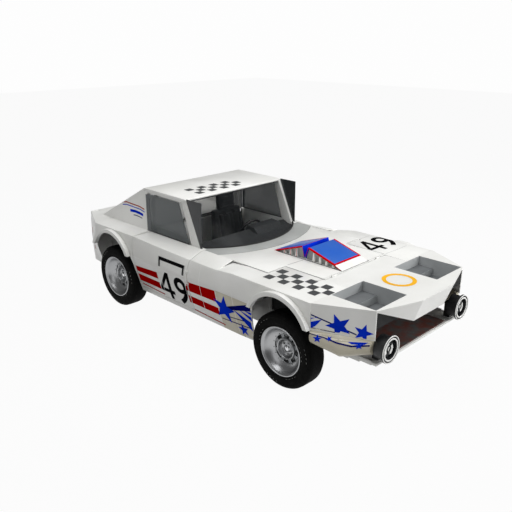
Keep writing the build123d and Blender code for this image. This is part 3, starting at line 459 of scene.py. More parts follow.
class RACECAR_OT_panels(bpy.types.Operator):
    """Round the edges of the painted panels and give every CAD node its finish"""

    bl_idname = "racecar.panels"
    bl_label = "Panels"

    def execute(self, context):
        edge = context.scene.racecar_sizes.edge
        for node in WHITE_PANELS + ("cowl", "corner_bumpers", "dashboard"):
            piece = new_piece(node + "_panel", cad_copy(node, edge), body_of(node),
                              OTHER_FINISHES.get(node, "white_enamel"), smooth=SMOOTH_ANGLES.get(node, 30))
            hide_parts(node)
            panels[node] = piece
        nose = panels["nose_shell"]
        # The bays get two greys by facing: the darker on floors and rims paints the shade in the recesses,
        # the lighter on the walls paints their light
        paint_faces(nose, "dark_primer_and_painted_shade", in_bay)
        paint_faces(nose, "bay_wall_painted_light_primer", lambda c, n: in_bay(c, n) and n.z < 0.5)
        # Flat black on the mouth's faces and the undersides below the deck: painted shade
        paint_faces(nose, "painted_shade_black",
                    lambda c, n: c.z < DECK and abs(c.y) < 0.676 and not in_bay(c, n) and (
                        (n.x > 0.8 and c.x < 1.936) or n.z < -0.5 or (abs(n.y) > 0.8 and c.x < 1.94)))
        # Near-white trim board inside the roof and the doors: painted light in the cabin
        paint_faces(panels["roof"], "trim_board_painted_light", lambda c, n: n.z < -0.5)
        for side, name in SIDE_NAMES.items():
            paint_faces(panels[f"door_{name}"], "trim_board_painted_light", lambda c, n: n.y * side < -0.6)
            # Flat black on the inner and lower faces of the wings below the waist: painted shade at the tops
            # of the wheel wells
            for node in ("rear_quarter_", "front_fender_"):
                paint_faces(panels[node + name], "painted_shade_black",
                            lambda c, n: c.z < WAIST and (n.y * side < -0.3 or n.z < -0.4))
            # Darker primer on the forward faces of the quarters above the waist: painted shade
            paint_faces(panels[f"rear_quarter_{name}"], "dark_primer_and_painted_shade",
                        lambda c, n: c.z > WAIST and n.x > 0.5 and abs(c.y) < 0.70)
            # Pale plates low in the wheel wells, with a sloping top edge and a folded end; above that edge
            # the black liner paints the shade in the wells
            inner, outer, fold = side * 0.5265, side * 0.530, side * 0.552
            front = [(0.420, 0.30), (0.690, 0.30), (0.690, 0.610), (0.420, 0.446)]
            rear = [(-2.00, 0.33), (-1.12, 0.30), (-1.12, 0.800), (-1.86, 0.573), (-2.00, 0.529)]
            build(f"arch_plates_{name}", body_of("wheel_liners"), "white_enamel",
                  (prism, front, inner, outer), (prism, rear, inner, outer),
                  (brick, (0.690, inner, 0.30), (0.702, fold, 0.640)), smooth=30, edge=(1 * MM,))
        for node, finish in OTHER_FINISHES.items():
            mesh = frame["nodes"][node].data
            mesh.materials.clear()
            mesh.materials.append(finishes[finish])
        return {"FINISHED"}


# Livery
GRID = 0.022
# Rays are cast from beyond the car, and a film lies on nothing nearer the middle than its skin
BESIDE, ABOVE, SKIN_Y = 1.4, 2.0, 0.6
# How far a film stops short of a panel's rear and front ends; the hinge side has its barrels beyond
PLAIN_INSET = (1.5 * MM, 1.5 * MM)
EDGE_INSETS = {"door": (1.5 * MM, 14.5 * MM), "front_fender": (14.5 * MM, 1.5 * MM)}
REAR_QUARTER, DOOR, FENDER = "rear_quarter_{}", "door_{}", "front_fender_{}"
SIDE_PANELS = (REAR_QUARTER, DOOR, FENDER)


def cut(bm, place, normal, **settings):
    """Cut a mesh along a plane."""
    geometry = list(bm.verts) + list(bm.edges) + list(bm.faces)
    bmesh.ops.bisect_plane(bm, geom=geometry, plane_co=place, plane_no=normal, dist=1e-6, **settings)


def gridded(bm, step):
    """Cut a flat mesh in X and Y so that it can follow a curved panel."""
    for normal in (Vector((1, 0, 0)), Vector((0, 1, 0))):
        reach = [v.co.dot(normal) for v in bm.verts]
        low, high = min(reach), max(reach)
        place = math.ceil(low / step) * step
        while place < high:
            cut(bm, normal * place, normal)
            place += step


def flat_shape(outlines):
    """Flat bmesh of closed outlines, in its own X and Y."""
    bm = bmesh.new()
    for outline in outlines:
        bm.faces.new([bm.verts.new((u, v, 0)) for u, v in outline])
    return bm


def film(name, shape, nodes, side, finish, lift=1.0):
    """Lay outlines or a flat mesh on the panels they cross, one piece for each panel.
    side is RIGHT or LEFT for (x, z) shapes, and 0 for (x, y) shapes laid from above."""
    height = bpy.context.scene.racecar_sizes.lift * lift
    towards = Vector((0, -side, 0)) if side else Vector((0, 0, -1))
    for node in nodes:
        target = panels[node]
        tree = BVHTree.FromObject(target, bpy.context.evaluated_depsgraph_get())
        rear_inset, front_inset = EDGE_INSETS.get(node.rsplit("_", 1)[0], PLAIN_INSET)
        xs = [v.co.x for v in target.data.vertices]
        if isinstance(shape, bpy.types.Mesh):
            bm = bmesh.new()
            bm.from_mesh(shape)
        else:
            bm = flat_shape(shape)
        cut(bm, (min(xs) + rear_inset, 0, 0), (-1, 0, 0), clear_outer=True)
        cut(bm, (max(xs) - front_inset, 0, 0), (1, 0, 0), clear_outer=True)
        if bm.faces:
            gridded(bm, GRID)
        missed = []
        for v in bm.verts:
            start = (v.co.x, side * BESIDE, v.co.y) if side else (v.co.x, v.co.y, ABOVE)
            place, normal, _, _ = tree.ray_cast(Vector(start), towards)
            if place is None or (side and abs(place.y) < SKIN_Y):
                missed.append(v)
            else:
                v.co = place - towards * height
        bmesh.ops.delete(bm, geom=missed, context="VERTS")
        if bm.faces:
            bm.normal_update()
            bmesh.ops.reverse_faces(bm, faces=[f for f in bm.faces if f.normal.dot(towards) > 0])
            bmesh.ops.triangulate(bm, faces=[f for f in bm.faces if len(f.verts) > 4])
            label = f"{name}{'_' + SIDE_NAMES[side] if side else ''}_on_{node}"
            mesh = bpy.data.meshes.new(label)
            bm.to_mesh(mesh)
            new_piece(label, mesh, body_of(node), finish, smooth=60)
        bm.free()


def lay(rows):
    """Lay a table of films on both sides: name, finish, lift, panels and outlines."""
    for side, name in SIDE_NAMES.items():
        for label, finish, lift, nodes, outlines in rows:
            film(label, outlines, [node.format(name) for node in nodes], side, finish, lift)


def star(u, v, radius, tilt, stretch=1.0):
    """Five-pointed star about a centre; tilt is its first tip's angle in degrees."""
    outline = []
    for step in range(10):
        reach = radius if step % 2 == 0 else radius * 0.42
        angle = math.radians(tilt + 36 * step)
        outline.append((u + stretch * reach * math.cos(angle), v + reach * math.sin(angle)))
    return outline


def band(xs, tops, lows):
    """Outline of a band between an upper and a lower line over the same places."""
    return list(zip(xs, tops)) + list(zip(xs, lows))[::-1]


# Outlines of an open figure 4 one unit high, and where the 9 beside it starts
FOUR = (rect(0.42, 0.57, 0.0, 1.0), rect(0.0, 0.42, 0.22, 0.36), rect(0.57, 0.70, 0.22, 0.36),
        ((0.0, 0.36), (0.145, 0.36), (0.42, 0.77), (0.42, 1.0)))
NINE_START = 0.80


def race_number(middle, height, turn, stretch=1.05):
    """Flat mesh of the number 49 about a point, in a direction given by a matrix."""
    curve = bpy.data.curves.new("digits", "FONT")
    curve.body = "9"
    curve.offset = 0.014
    curve.resolution_u = 5
    mesh = baked(curve)
    xs = [v.co.x for v in mesh.vertices]
    ys = [v.co.y for v in mesh.vertices]
    scale = 1 / (max(ys) - min(ys))
    mesh.transform(Matrix.Translation((NINE_START - scale * min(xs), -scale * min(ys), 0))
                   @ Matrix.Diagonal((scale, scale, 1, 1)))
    bm = flat_shape(FOUR)
    bm.from_mesh(mesh)
    bm.to_mesh(mesh)
    bm.free()
    width = NINE_START + scale * (max(xs) - min(xs))
    size = Matrix.Diagonal((height * stretch, height, 1, 1))
    mesh.transform(Matrix.Translation((*middle, 0)) @ turn @ size
                   @ Matrix.Translation((-width / 2, -0.5, 0)))
    return mesh


# Side stripes: spans in x, then height at x = 0 and slope of the upper and of the lower line
BROAD, FINE = ((-1.10, -0.570), (-0.105, 0.335)), ((-1.06, -0.541), (-0.079, 0.376))
STRIPES = ((BROAD, (0.645, 0.072), (0.539, 0.024)), (BROAD, (0.483, 0.0), (0.402, 0.0)),
           (FINE, (0.329, -0.045), (0.315, -0.045)))
# The nose starts at NOSE_X, and the blue livery on the fender ends at ARCH_X in the wheel arch
NOSE_X, ARCH_X = 1.488, 0.80
CORNER_XS = (NOSE_X, 1.60, 1.70, 1.80, 1.95)
SIDE_FILMS = (
    ("red_stripes", "red_film", 1, SIDE_PANELS,
     [band(xs, *([z + slope * x for x in xs] for z, slope in lines))
      for spans, *lines in STRIPES for xs in spans]),
    ("number_frame", "black_film", 1, (DOOR,),
     [band((-0.517, -0.112), (0.797, 0.790), (0.762, 0.757)), rect(-0.517, -0.488, 0.692, 0.762),
      rect(-0.143, -0.112, 0.692, 0.757)]),
    ("blue_ground", "beige_enamel", 1, (FENDER,), [rect(0.345, 0.86, 0.262, 0.676)]),
    ("navy_lines", "navy_film", 2, (FENDER,),
     [band((0.44, ARCH_X), (0.535, 0.676), (0.502, 0.606)),
      band((0.36, ARCH_X), (0.384, 0.416), (0.374, 0.404)),
      band((0.458, ARCH_X), (0.438, 0.482), (0.429, 0.470))]),
    ("blue_stars", "blue_film", 3, (FENDER,),
     [star(0.428, 0.505, 0.15, 79), star(0.640, 0.350, 0.072, 100),
      [(0.560, 0.545), (ARCH_X, 0.470), (ARCH_X, 0.360)], [(0.645, 0.570), (ARCH_X, 0.540), (ARCH_X, 0.492)],
      [(0.715, 0.586), (ARCH_X, 0.592), (ARCH_X, 0.560)]]),
    ("nose_lines", "navy_film", 1, ("nose_shell",),
     [band((NOSE_X, 1.811), (0.812, 0.690), (0.800, 0.678)),
      band((NOSE_X, 1.66), (0.698, 0.684), (0.690, 0.676))]),
    ("nose_stars", "blue_film", 2, ("nose_shell",),
     [star(1.685, 0.739, 0.107, 113, 0.89), star(1.856, 0.706, 0.080, 75, 0.89),
      [(NOSE_X, 0.780), (NOSE_X, 0.768), (1.526, 0.792), (1.535, 0.786)],
      [(NOSE_X, 0.745), (1.564, 0.775), (1.520, 0.712), (NOSE_X, 0.690)]]),
    # Broad light cream band: the cream livery, with painted light on the top of the bump
    ("corner_cream", "cream_enamel", 1, ("corner_bumpers", "nose_shell"),
     [band(CORNER_XS, (0.696, 0.690, 0.686, 0.684, 0.680), (0.654, 0.636, 0.614, 0.602, 0.626))]),
    ("corner_line", "navy_film", 2, ("corner_bumpers",),
     [band(CORNER_XS, (0.652, 0.640, 0.620, 0.604, 0.626), (0.646, 0.632, 0.608, 0.590, 0.614))]),
    ("corner_stars", "blue_film", 3, ("corner_bumpers",),
     [star(1.555, 0.618, 0.036, 95), star(1.64, 0.633, 0.022, 60), star(1.846, 0.604, 0.03, 100),
      [(1.77, 0.628), (1.90, 0.636), (1.88, 0.618), (1.80, 0.614)]]),
)
# Chequered squares: first corner, panels, and whether rows run along X
SQUARE = 0.084
CHECKS = {"roof_squares": ((-0.66, -0.44), ("roof",), True),
          "bonnet_squares": ((0.82, -0.775), ("bonnet", "front_fender_right"), False)}


class RACECAR_OT_livery(bpy.types.Operator):
    """Lay the stripes, stars and numbers on the bodywork"""

    bl_idname = "racecar.livery"
    bl_label = "Livery"

    def execute(self, context):
        lay(SIDE_FILMS)
        height = context.scene.racecar_sizes.number_height
        for side, name in SIDE_NAMES.items():
            facing = Matrix.Diagonal((-side, 1, 1, 1))
            digits = race_number((-0.332, 0.489), height, facing)
            film("side_number", digits, [f"door_{name}"], side, "black_film")
        film("bonnet_number", race_number((1.0, 0.700), 0.30, Matrix.Rotation(math.radians(90), 4, "Z")),
             ["front_fender_left", "bonnet"], 0, "black_film")
        for name, ((x0, y0), nodes, rows_along) in CHECKS.items():
            squares = []
            for row in range(3):
                for column in range(row % 2, 8, 2):
                    x, y = (row, column) if rows_along else (column, row)
                    x, y = x0 + SQUARE * x, y0 + SQUARE * y
                    squares.append(rect(x, x + SQUARE, y, y + SQUARE))
            film(name, squares, nodes, 0, "charcoal_film")
        inner, outer, turns = 0.112, 0.150, [2 * math.pi * step / 24 for step in range(25)]
        ring = [[around((1.70, 0, 0), radius, turn, "Z")[:2]
                 for radius, turn in ((outer, low), (outer, high), (inner, high), (inner, low))]
                for low, high in zip(turns, turns[1:])]
        film("nose_ring", ring, ["nose_shell"], 0, "amber_film")
        return {"FINISHED"}


# Wheels
# Wheel centres of each axle along X, and their height
AXLES = {"front": 1.1485, "rear": -1.3405}
HUB_Z = 0.344
# Radius of the tyre's seat, and of the rim's lip
SEAT, LIP = 0.2125, 0.227
# Depth of the wheel's centre behind the outer face; then turned forms as radius and place outwards
# from that centre, and last those from the outer face
WEB_DEPTH = 0.084
CUP = ((0.094, -0.006), (0.098, -0.002), (0.100, 0.006), (0.098, 0.014), (0.092, 0.018), (0.087, 0.016),
       (0.083, 0.006), (0.078, -0.014), (0.070, -0.030), (0.058, -0.036), (0.042, -0.038), (0.042, -0.044),
       (0.088, -0.044), (0.094, -0.030))
CAP = ((0.0005, -0.040), (0.0005, 0.006), (0.014, 0.004), (0.027, -0.003), (0.036, -0.013), (0.040, -0.025),
       (0.041, -0.040))
NUT = ((0.0004, -0.037), (0.0004, -0.022), (0.005, -0.023), (0.0078, -0.026), (0.0082, -0.037))
BOLT = ((0.0003, -0.079), (0.0003, -0.073), (0.004, -0.0735), (0.0048, -0.079))
VALVE = ((0.0003, -0.03), (0.0003, 0.0), (0.0035, 0.0), (0.004, -0.03))
DISH = ((LIP - 0.004, -0.010), (LIP, -0.006), (LIP, -0.003), (LIP - 0.003, 0.0), (LIP - 0.010, -0.001),
        (LIP - 0.013, -0.006), (SEAT - 0.006, -0.010), (SEAT - 0.012, -0.020), (0.192, -0.036),
        (0.180, -0.052), (0.164, -0.066), (0.148, -0.075), (0.134, -0.080), (0.130, -0.084),
        (0.130, -0.096), (0.140, -0.100), (0.170, -0.086), (SEAT - 0.012, -0.050))
# Tyre: shoulders as depth under the tread and depth behind a face, then its outer sidewall
INNER_SHOULDER = ((0.04, 0.002), (0.022, 0.007), (0.009, 0.017), (0.002, 0.03), (0.0, 0.05))
OUTER_SHOULDER = ((0.0, 0.05), (0.002, 0.03), (0.009, 0.017), (0.022, 0.007), (0.035, 0.003),
                  (0.040, 0.0012), (0.043, 0.003), (0.060, 0.0005))
SIDEWALL = ((SEAT + 0.055, 0.0), (SEAT + 0.035, -0.001), (SEAT + 0.031, -0.003), (SEAT + 0.026, -0.002),
            (SEAT + 0.012, -0.008), (SEAT, -0.014))
# Webs: reach and share of the pitch that each end and waist takes up
WEB = ((0.094, 0.62), (0.106, 0.40), (0.122, 0.36), (0.134, 0.60))
WEBS, NUTS, BOLTS = 8, 5, 16


class RACECAR_OT_wheels(bpy.types.Operator):
    """Make the slick tyres and deep-dish wheels"""

    bl_idname = "racecar.wheels"
    bl_label = "Wheels"

    def execute(self, context):
        for end in AXLES:
            for side, name in SIDE_NAMES.items():
                self.wheel(side, f"{end}_{name}")
        return {"FINISHED"}

    def wheel(self, side, tag):
        """Tyre, dish, webs, hub, nuts and valve of one wheel."""
        body = "wheel_" + tag
        low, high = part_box("tyre_" + tag)
        centre = (low + high) / 2
        radius, half = (high.z - low.z) / 2, (high.y - low.y) / 2
        middle, back = half - WEB_DEPTH, -2 * half

        def ring(bm, base, rows, segments, away=0.0, turn=0.0):
            lathe(bm, [(r, side * (base + y)) for r, y in rows], segments, around(centre, away, turn))

        section = [(SEAT, back + 0.014), (SEAT + 0.022, back + 0.003), (SEAT + 0.05, back + 0.001)]
        section += [(radius - depth, back + place) for depth, place in INNER_SHOULDER]
        section += [(radius, -half)] + [(radius - depth, -place) for depth, place in OUTER_SHOULDER]
        section += SIDEWALL
        tyre = build(f"slick_tyre_{tag}", body, "slick_rubber", (ring, half, section, 96), smooth=35)
        paint_faces(tyre, "scuffed_tread_rubber",
                    lambda c, n: math.hypot(c.x - centre.x, c.z - centre.z) > radius - 0.004)
        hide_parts("tyre_" + tag)
        dish = [(SEAT - 0.001, back + 0.012), (SEAT - 0.001, -0.013), *DISH, (SEAT - 0.012, back + 0.012)]
        rim = build(f"rim_dish_{tag}", body, "spun_aluminium", (ring, half, dish, 96), smooth=50)
        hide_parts("rim_" + tag)

        webs = []
        for index in range(WEBS):
            corners = [[(reach, (index + 0.5 + turn * wide / 2) / WEBS, depth)
                        for turn, depth in rect(-1, 1, 0, -0.012)] for reach, wide in WEB]
            webs.append((skin, [[around(centre, reach, 2 * math.pi * turn, "Y", side * (middle + depth))
                                 for reach, turn, depth in row] for row in corners]))
        build(f"rim_centre_{tag}", body, "cast_aluminium", *webs, edge=(2 * MM,))
        build(f"hub_cup_{tag}", body, "spun_aluminium", (ring, middle, CUP, 72), smooth=50)
        # Flat black disc behind the webs: painted shade in the wheel's centre
        build(f"wheel_back_{tag}", body, "painted_shade_black",
              (ring, middle, rect(0.03, 0.136, -0.052, -0.046), 48))
        build(f"hub_cap_{tag}", body, "bright_chrome", (ring, middle, CAP, 48), smooth=50)
        build(f"wheel_nuts_{tag}", body, "zinc_steel",
              *[(ring, middle, NUT, 6, 0.058, 2 * math.pi * (i + 0.25) / NUTS) for i in range(NUTS)],
              *[(ring, half, BOLT, 6, 0.141, 2 * math.pi * (i + 0.5) / BOLTS) for i in range(BOLTS)],
              smooth=30)
        build(f"valve_{tag}", body, "moulded_black_plastic", (ring, half, VALVE, 12, 0.199, math.radians(40)))

        # Broken pale lines round the sidewall: four dashes, then a gap of twelve
        marks = []
        for reach, depth, dashes, share in ((0.245, 0.0035, 40, 0.30), (0.298, 0.0025, 48, 0.35)):
            outline = rect(reach - 0.0012, reach + 0.0012, half - depth, half - depth + 0.005)
            for index in (index for index in range(dashes) if index % 16 < 4):
                turns = [2 * math.pi * (index + share * step / 4) / dashes for step in range(5)]
                marks.append((skin, [[around(centre, r, turn, "Y", side * y) for r, y in outline]
                                     for turn in turns]))
        build(f"sidewall_marks_{tag}", body, "pale_sidewall_dashes", *marks, smooth=0)


# Scoop, lamps and seams
class RACECAR_OT_scoop(bpy.types.Operator):
    """Paint the bonnet scoop: blue lids, red borders, white ribs and ramp"""

    bl_idname = "racecar.scoop"
    bl_label = "Scoop"

    def execute(self, context):
        body = body_of("bonnet_scoop")
        scoop = new_piece("bonnet_scoop_box", cad_copy("bonnet_scoop", 1.5 * MM), body, "grey_primer")
        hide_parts("bonnet_scoop")
        panels["bonnet_scoop"] = scoop
        # Along X: rear end, peak, crest, foot of the front lid, then heights of the bonnet and lids
        rear, peak, crest, ramp = 0.420, 0.7665, 0.8405, 1.159
        base, lid = 0.9105, 1.035
        paint_faces(scoop, "seam_white_film", lambda c, n: c.x > ramp and abs(n.y) < 0.9)
        paint_faces(scoop, "scoop_blue_enamel", lambda c, n: n.z > 0.5 and c.x < ramp)
        paint_faces(scoop, "signal_red_film", lambda c, n: abs(c.y) > 0.193 and c.x < ramp)
        paint_faces(scoop, "blue_film", lambda c, n: abs(n.x) > 0.9 and 0.76 < c.x < 0.85)
        # Flat black on the rearward faces at the step between the lids: painted shade
        paint_faces(scoop, "painted_shade_black", lambda c, n: 0.79 < c.x < 0.812 and n.x < -0.9)
        half, edge = 0.1945, 0.018
        strips = [rect(low, high, side * (half - edge), side * half)
                  for low, high in ((rear, peak), (crest, ramp)) for side in SIDE_NAMES]
        strips += [rect(low, high, edge - half, half - edge)
                   for low, high in ((peak - edge, peak), (ramp - edge * 1.2, ramp))]
        film("scoop_border", strips, ["bonnet_scoop"], 0, "signal_red_film")
        rear_ribs = (0.544, 0.619, 0.694)
        ribs, marks = [], []
        for low, high, z_low, z_high, spots in ((rear, peak, base, lid, rear_ribs),
                                                (1.160, 0.840, 0.944, 1.034, (0.904, 0.979, 1.054, 1.129))):
            for x in spots:
                top = z_low + (z_high - z_low) * (x - low) / (high - low)
                blade = [(x - 0.015, base), (x + 0.015, base), (x + 0.006, top - 0.014),
                         (x - 0.006, top - 0.014)]
                mark = [(x + 0.004, base + 0.002), (x + 0.008, base + 0.002), (x + 0.004, top - 0.016),
                        (x - 0.001, top - 0.016)]
                ribs += [(prism, blade, side * 0.172, side * 0.193) for side in SIDE_NAMES]
                if spots == rear_ribs:
                    marks += [(prism, mark, side * 0.1932, side * 0.1942) for side in SIDE_NAMES]
        build("scoop_ribs", body, "seam_white_film", *ribs, edge=(2.5 * MM,))
        build("scoop_rib_marks", body, "signal_red_film", *marks, smooth=0)
        under, over = 0.9121, 0.9145
        foot = [(brick, (1.2425, y - 0.005, under), (1.2465, y + 0.005, over))
                for y in (-0.19 + index * 0.38 / 21 for index in range(22))]
        foot += [(brick, (0.44, side * 0.1965, under), (1.24, side * 0.2, over)) for side in SIDE_NAMES]
        build("scoop_foot_seal", body, "black_rubber_seal", *foot, smooth=0)
        return {"FINISHED"}


def arc_plate(bm, centre, radii, angles, x0, x1, steps=10):
    """Add a curved bar in a YZ plane between two radii, two angles in degrees and two x."""
    turns = [math.radians(angles[0] + (angles[1] - angles[0]) * step / steps) for step in range(steps + 1)]
    skin(bm, [[around(centre, radius, turn, "X", x) for radius, x in rect(*radii, x0, x1)] for turn in turns])


class RACECAR_OT_lamps(bpy.types.Operator):
    """Fit rings, reflectors and lenses to the driving lamps and tail lamps; in the driving lamps the outer
    white ring is a painted highlight, the white arcs painted reflections and the black bowls painted shade
    """

    bl_idname = "racecar.lamps"
    bl_label = "Lamps"

    def execute(self, context):
        body = body_of("driving_lamps")
        face = 2.019
        for side, name in SIDE_NAMES.items():
            centre = (0, side * 0.567, 0.567)
            # White rings on the lamp; the outer one paints the bezel's edge highlight
            rings = [(lathe, [(low, face - 0.004), (low, face + 0.003), (low + 0.002, face + 0.005),
                              (high - 0.002, face + 0.005), (high, face + 0.003), (high, face - 0.004)],
                      72, centre, "X") for low, high in ((0.1085, 0.1175), (0.084, 0.097))]
            build(f"lamp_rings_{name}", body, "lamp_white_painted_highlight", *rings)
            # Flat black bowl: painted shade inside the lamp
            bowl = [(0.0006, 1.958), (0.0006, 1.962), (0.030, 1.964), (0.055, 1.972), (0.080, 1.984),
                    (0.0835, 1.984), (0.0835, 1.981), (0.056, 1.968), (0.030, 1.959)]
            build(f"lamp_reflector_{name}", body, "painted_shade_black", (lathe, bowl, 56, centre, "X"))
            # White arcs in front of the bowl: painted reflections
            reflection_arcs = (((0.040, 0.066), (100, 215)), ((0.030, 0.052), (285, 400)), ((0.004, 0.016), (60, 240)))
            build(f"lamp_painted_reflections_{name}", body, "lamp_white_painted_highlight",
                  *[(arc_plate, centre, radii, angles, 1.998, 2.004) for radii, angles in reflection_arcs], smooth=30)
            screw = [(0.0003, face - 0.004), (0.0003, face + 0.004), (0.003, face + 0.0035),
                     (0.0045, face - 0.004)]
            build(f"lamp_screws_{name}", body, "zinc_steel",
                  *[(lathe, screw, 8, around(centre, 0.1025, math.radians(angle), "X"), "X")
                    for angle in (30, 150, 270)], smooth=30)
        body = body_of("tail_lamps")
        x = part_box("tail_lamps")[0].x
        spots = [(0, y, 0.76) for y in (-0.60, -0.42, 0.42, 0.60)]
        bezel = [(0.060, x + 0.018), (0.060, x + 0.001), (0.0635, x - 0.001), (0.069, x + 0.003),
                 (0.071, x + 0.018)]
        build("tail_lamp_bezels", body, "bright_chrome",
              *[(lathe, bezel, 56, spot, "X") for spot in spots], smooth=50)
        build("tail_lamp_ridges", body, "red_lens",
              *[(lathe, [(radius - 0.0025, x + 0.002), (radius, x - 0.0015), (radius + 0.0025, x + 0.002)],
                 48, spot, "X") for spot in spots for radius in (0.018, 0.034, 0.050)], smooth=50)
        return {"FINISHED"}


def seam(x0, y0, x1, y1, half):
    """Outline of a joint's line, with half its width to each side."""
    along = Vector((x1 - x0, y1 - y0)).normalized()
    u, v = -along.y * half, along.x * half
    return [(x0 + u, y0 + v), (x1 + u, y1 + v), (x1 - u, y1 - v), (x0 - u, y0 - v)]


# Dashes along the side: height, first x, pitch and count
DASH_Z, DASH_START, DASH_STEP, DASHES = 0.683, -1.0, 0.042, 39


def bar(xs, tops, depth):
    """Outline of one plain bar on the buttress, as deep all along."""
    return [band(xs, tops, [z - depth for z in tops])]


SEAM_FILMS = (
    ("side_seams", "seam_white_film", 1.5, SIDE_PANELS,
     [rect(x - 2.2 * MM, x + 2.2 * MM, 0.275, 0.88) for x in (-0.512, -0.117, 0.118, 0.570)]),
    ("seam_dashes", "seam_white_film", 1.6, SIDE_PANELS,
     [rect(x, x + 0.030, DASH_Z, DASH_Z + 0.004)
      for x in (DASH_START + DASH_STEP * index for index in range(DASHES))]),
    ("sail_bar_0", "red_film", 1, (REAR_QUARTER,),
     bar((-1.440, -1.360, -1.110, -1.030), (1.150, 1.166, 1.158, 1.142), 0.012)),
    ("sail_bar_1", "blue_film", 1, (REAR_QUARTER,),
     bar((-1.440, -1.360, -1.110, -1.030), (1.122, 1.136, 1.128, 1.112), 0.010)),
    ("sail_bar_2", "blue_film", 1, (REAR_QUARTER,),
     bar((-1.300, -1.200, -1.120, -1.060), (1.092, 1.098, 1.092, 1.082), 0.030)),
    ("sail_bar_3", "navy_film", 1, (REAR_QUARTER,),
     bar((-1.240, -1.200, -1.140, -1.080), (1.040, 1.044, 1.042, 1.034), 0.010)),
)
BONNET_SEAMS = (
    seam(0.787, -0.415, 0.799, -0.215, 3.2 * MM), seam(1.208, -0.528, 1.242, -0.450, 3.2 * MM),
    seam(0.783, 0.472, 1.236, 0.472, 3.2 * MM), seam(1.236, 0.475, 1.236, 0.86, 1.6 * MM),
    seam(0.783, 0.475, 0.783, 0.86, 1.6 * MM), seam(1.236, -0.45, 1.236, 0.45, 1.0 * MM),
)


class RACECAR_OT_seams(bpy.types.Operator):
    """Draw the pale joints of the side panels and the grey joints of the bonnet"""

    bl_idname = "racecar.seams"
    bl_label = "Panel seams"

    def execute(self, context):
        lay(SEAM_FILMS)
        film("bonnet_seams", BONNET_SEAMS, ["bonnet", "front_fender_left", "front_fender_right"], 0,
             "seam_grey_film")
        return {"FINISHED"}


# Cabin
SEAT_Y = 0.305
CLOTH_FRAMES = 14
FORWARD, UP = Vector((1, 0, 0)), Vector((0, 0, 1))
# Pads of the seat: outline in x and z, ends in y, way they look, axis and places of their channels,
# and the channels' depth
SEAT_PADS = {
    "seat_base_pad": ([(-0.372, 0.484), (-0.366, 0.516), (-0.52, 0.518), (-0.68, 0.508), (-0.700, 0.476)],
                      0.155, 0.455, UP, 1, (0.205, 0.255, 0.305, 0.355, 0.405), 5 * MM),
    "seat_back_pad": ([(-0.725, 0.505), (-0.690, 0.515), (-0.742, 0.78), (-0.776, 0.960), (-0.812, 0.968)],
                      0.155, 0.455, FORWARD, 1, (0.205, 0.255, 0.305, 0.355, 0.405), 5 * MM),
    "seat_head_pad": ([(-0.826, 1.022), (-0.798, 1.026), (-0.812, 1.150), (-0.836, 1.168), (-0.846, 1.150)],
                      0.200, 0.410, FORWARD, 2, (1.095,), 4 * MM),
}
# Dash gauges: y, z and radius
GAUGES = ((0.205, 0.852, 0.042), (0.355, 0.852, 0.042), (0.28, 0.838, 0.028), (0.02, 0.842, 0.027),
          (-0.06, 0.842, 0.027), (-0.14, 0.842, 0.027))


def rounded(mesh, width, segments=3):
    """Mesh with even its blunt edges rounded by a width."""
    return bevelled(mesh, width, segments, 25)


def puffed(mesh, voxel, cap, pressure=4.0):
    """Padded form of a closed mesh: remeshed, swollen by a cloth simulation, its travel capped."""
    mesh = modified(mesh, REMESH={"mode": "VOXEL", "voxel_size": voxel})
    start = [v.co.copy() for v in mesh.vertices]
    scene = bpy.context.scene

    def simulate(holder):
        cloth = holder.modifiers.new("Cloth", "CLOTH")
        cloth.settings.quality = 5
        cloth.settings.use_pressure = True
        cloth.settings.uniform_pressure_force = pressure
        cloth.settings.tension_stiffness = 20
        cloth.settings.compression_stiffness = 20
        cloth.settings.effector_weights.gravity = 0
        cloth.point_cache.frame_start = 1
        cloth.point_cache.frame_end = CLOTH_FRAMES
        for step in range(CLOTH_FRAMES):
            scene.frame_set(step + 1)

    result = baked(mesh, simulate)
    scene.frame_set(1)
    for v, home in zip(result.vertices, start):
        move = v.co - home
        if move.length > cap:
            v.co = home + move.normalized() * cap
    return result


def channels(mesh, axis, places, depth, wide, facing):
    """Press sewn channels into the faces of a pad that look one way."""
    for v in mesh.vertices:
        if v.normal.dot(facing) > 0.55:
            near = min(abs(v.co[axis] - place) for place in places)
            v.co -= facing * depth * math.exp(-((near / wide) ** 2))


def ribbon(bm, spots, wide, thick, across):
    """Add a flat strap along points, a little thick."""
    rows = []
    for before, spot, after in zip(spots[:1] + spots, spots, spots[1:] + spots[-1:]):
        out = (after - before).normalized().cross(across).normalized()
        rows.append([spot + across * s * wide / 2 + out * d
                     for s, d in ((-1, 0), (1, 0), (1, thick), (-1, thick))])
    skin(bm, rows)


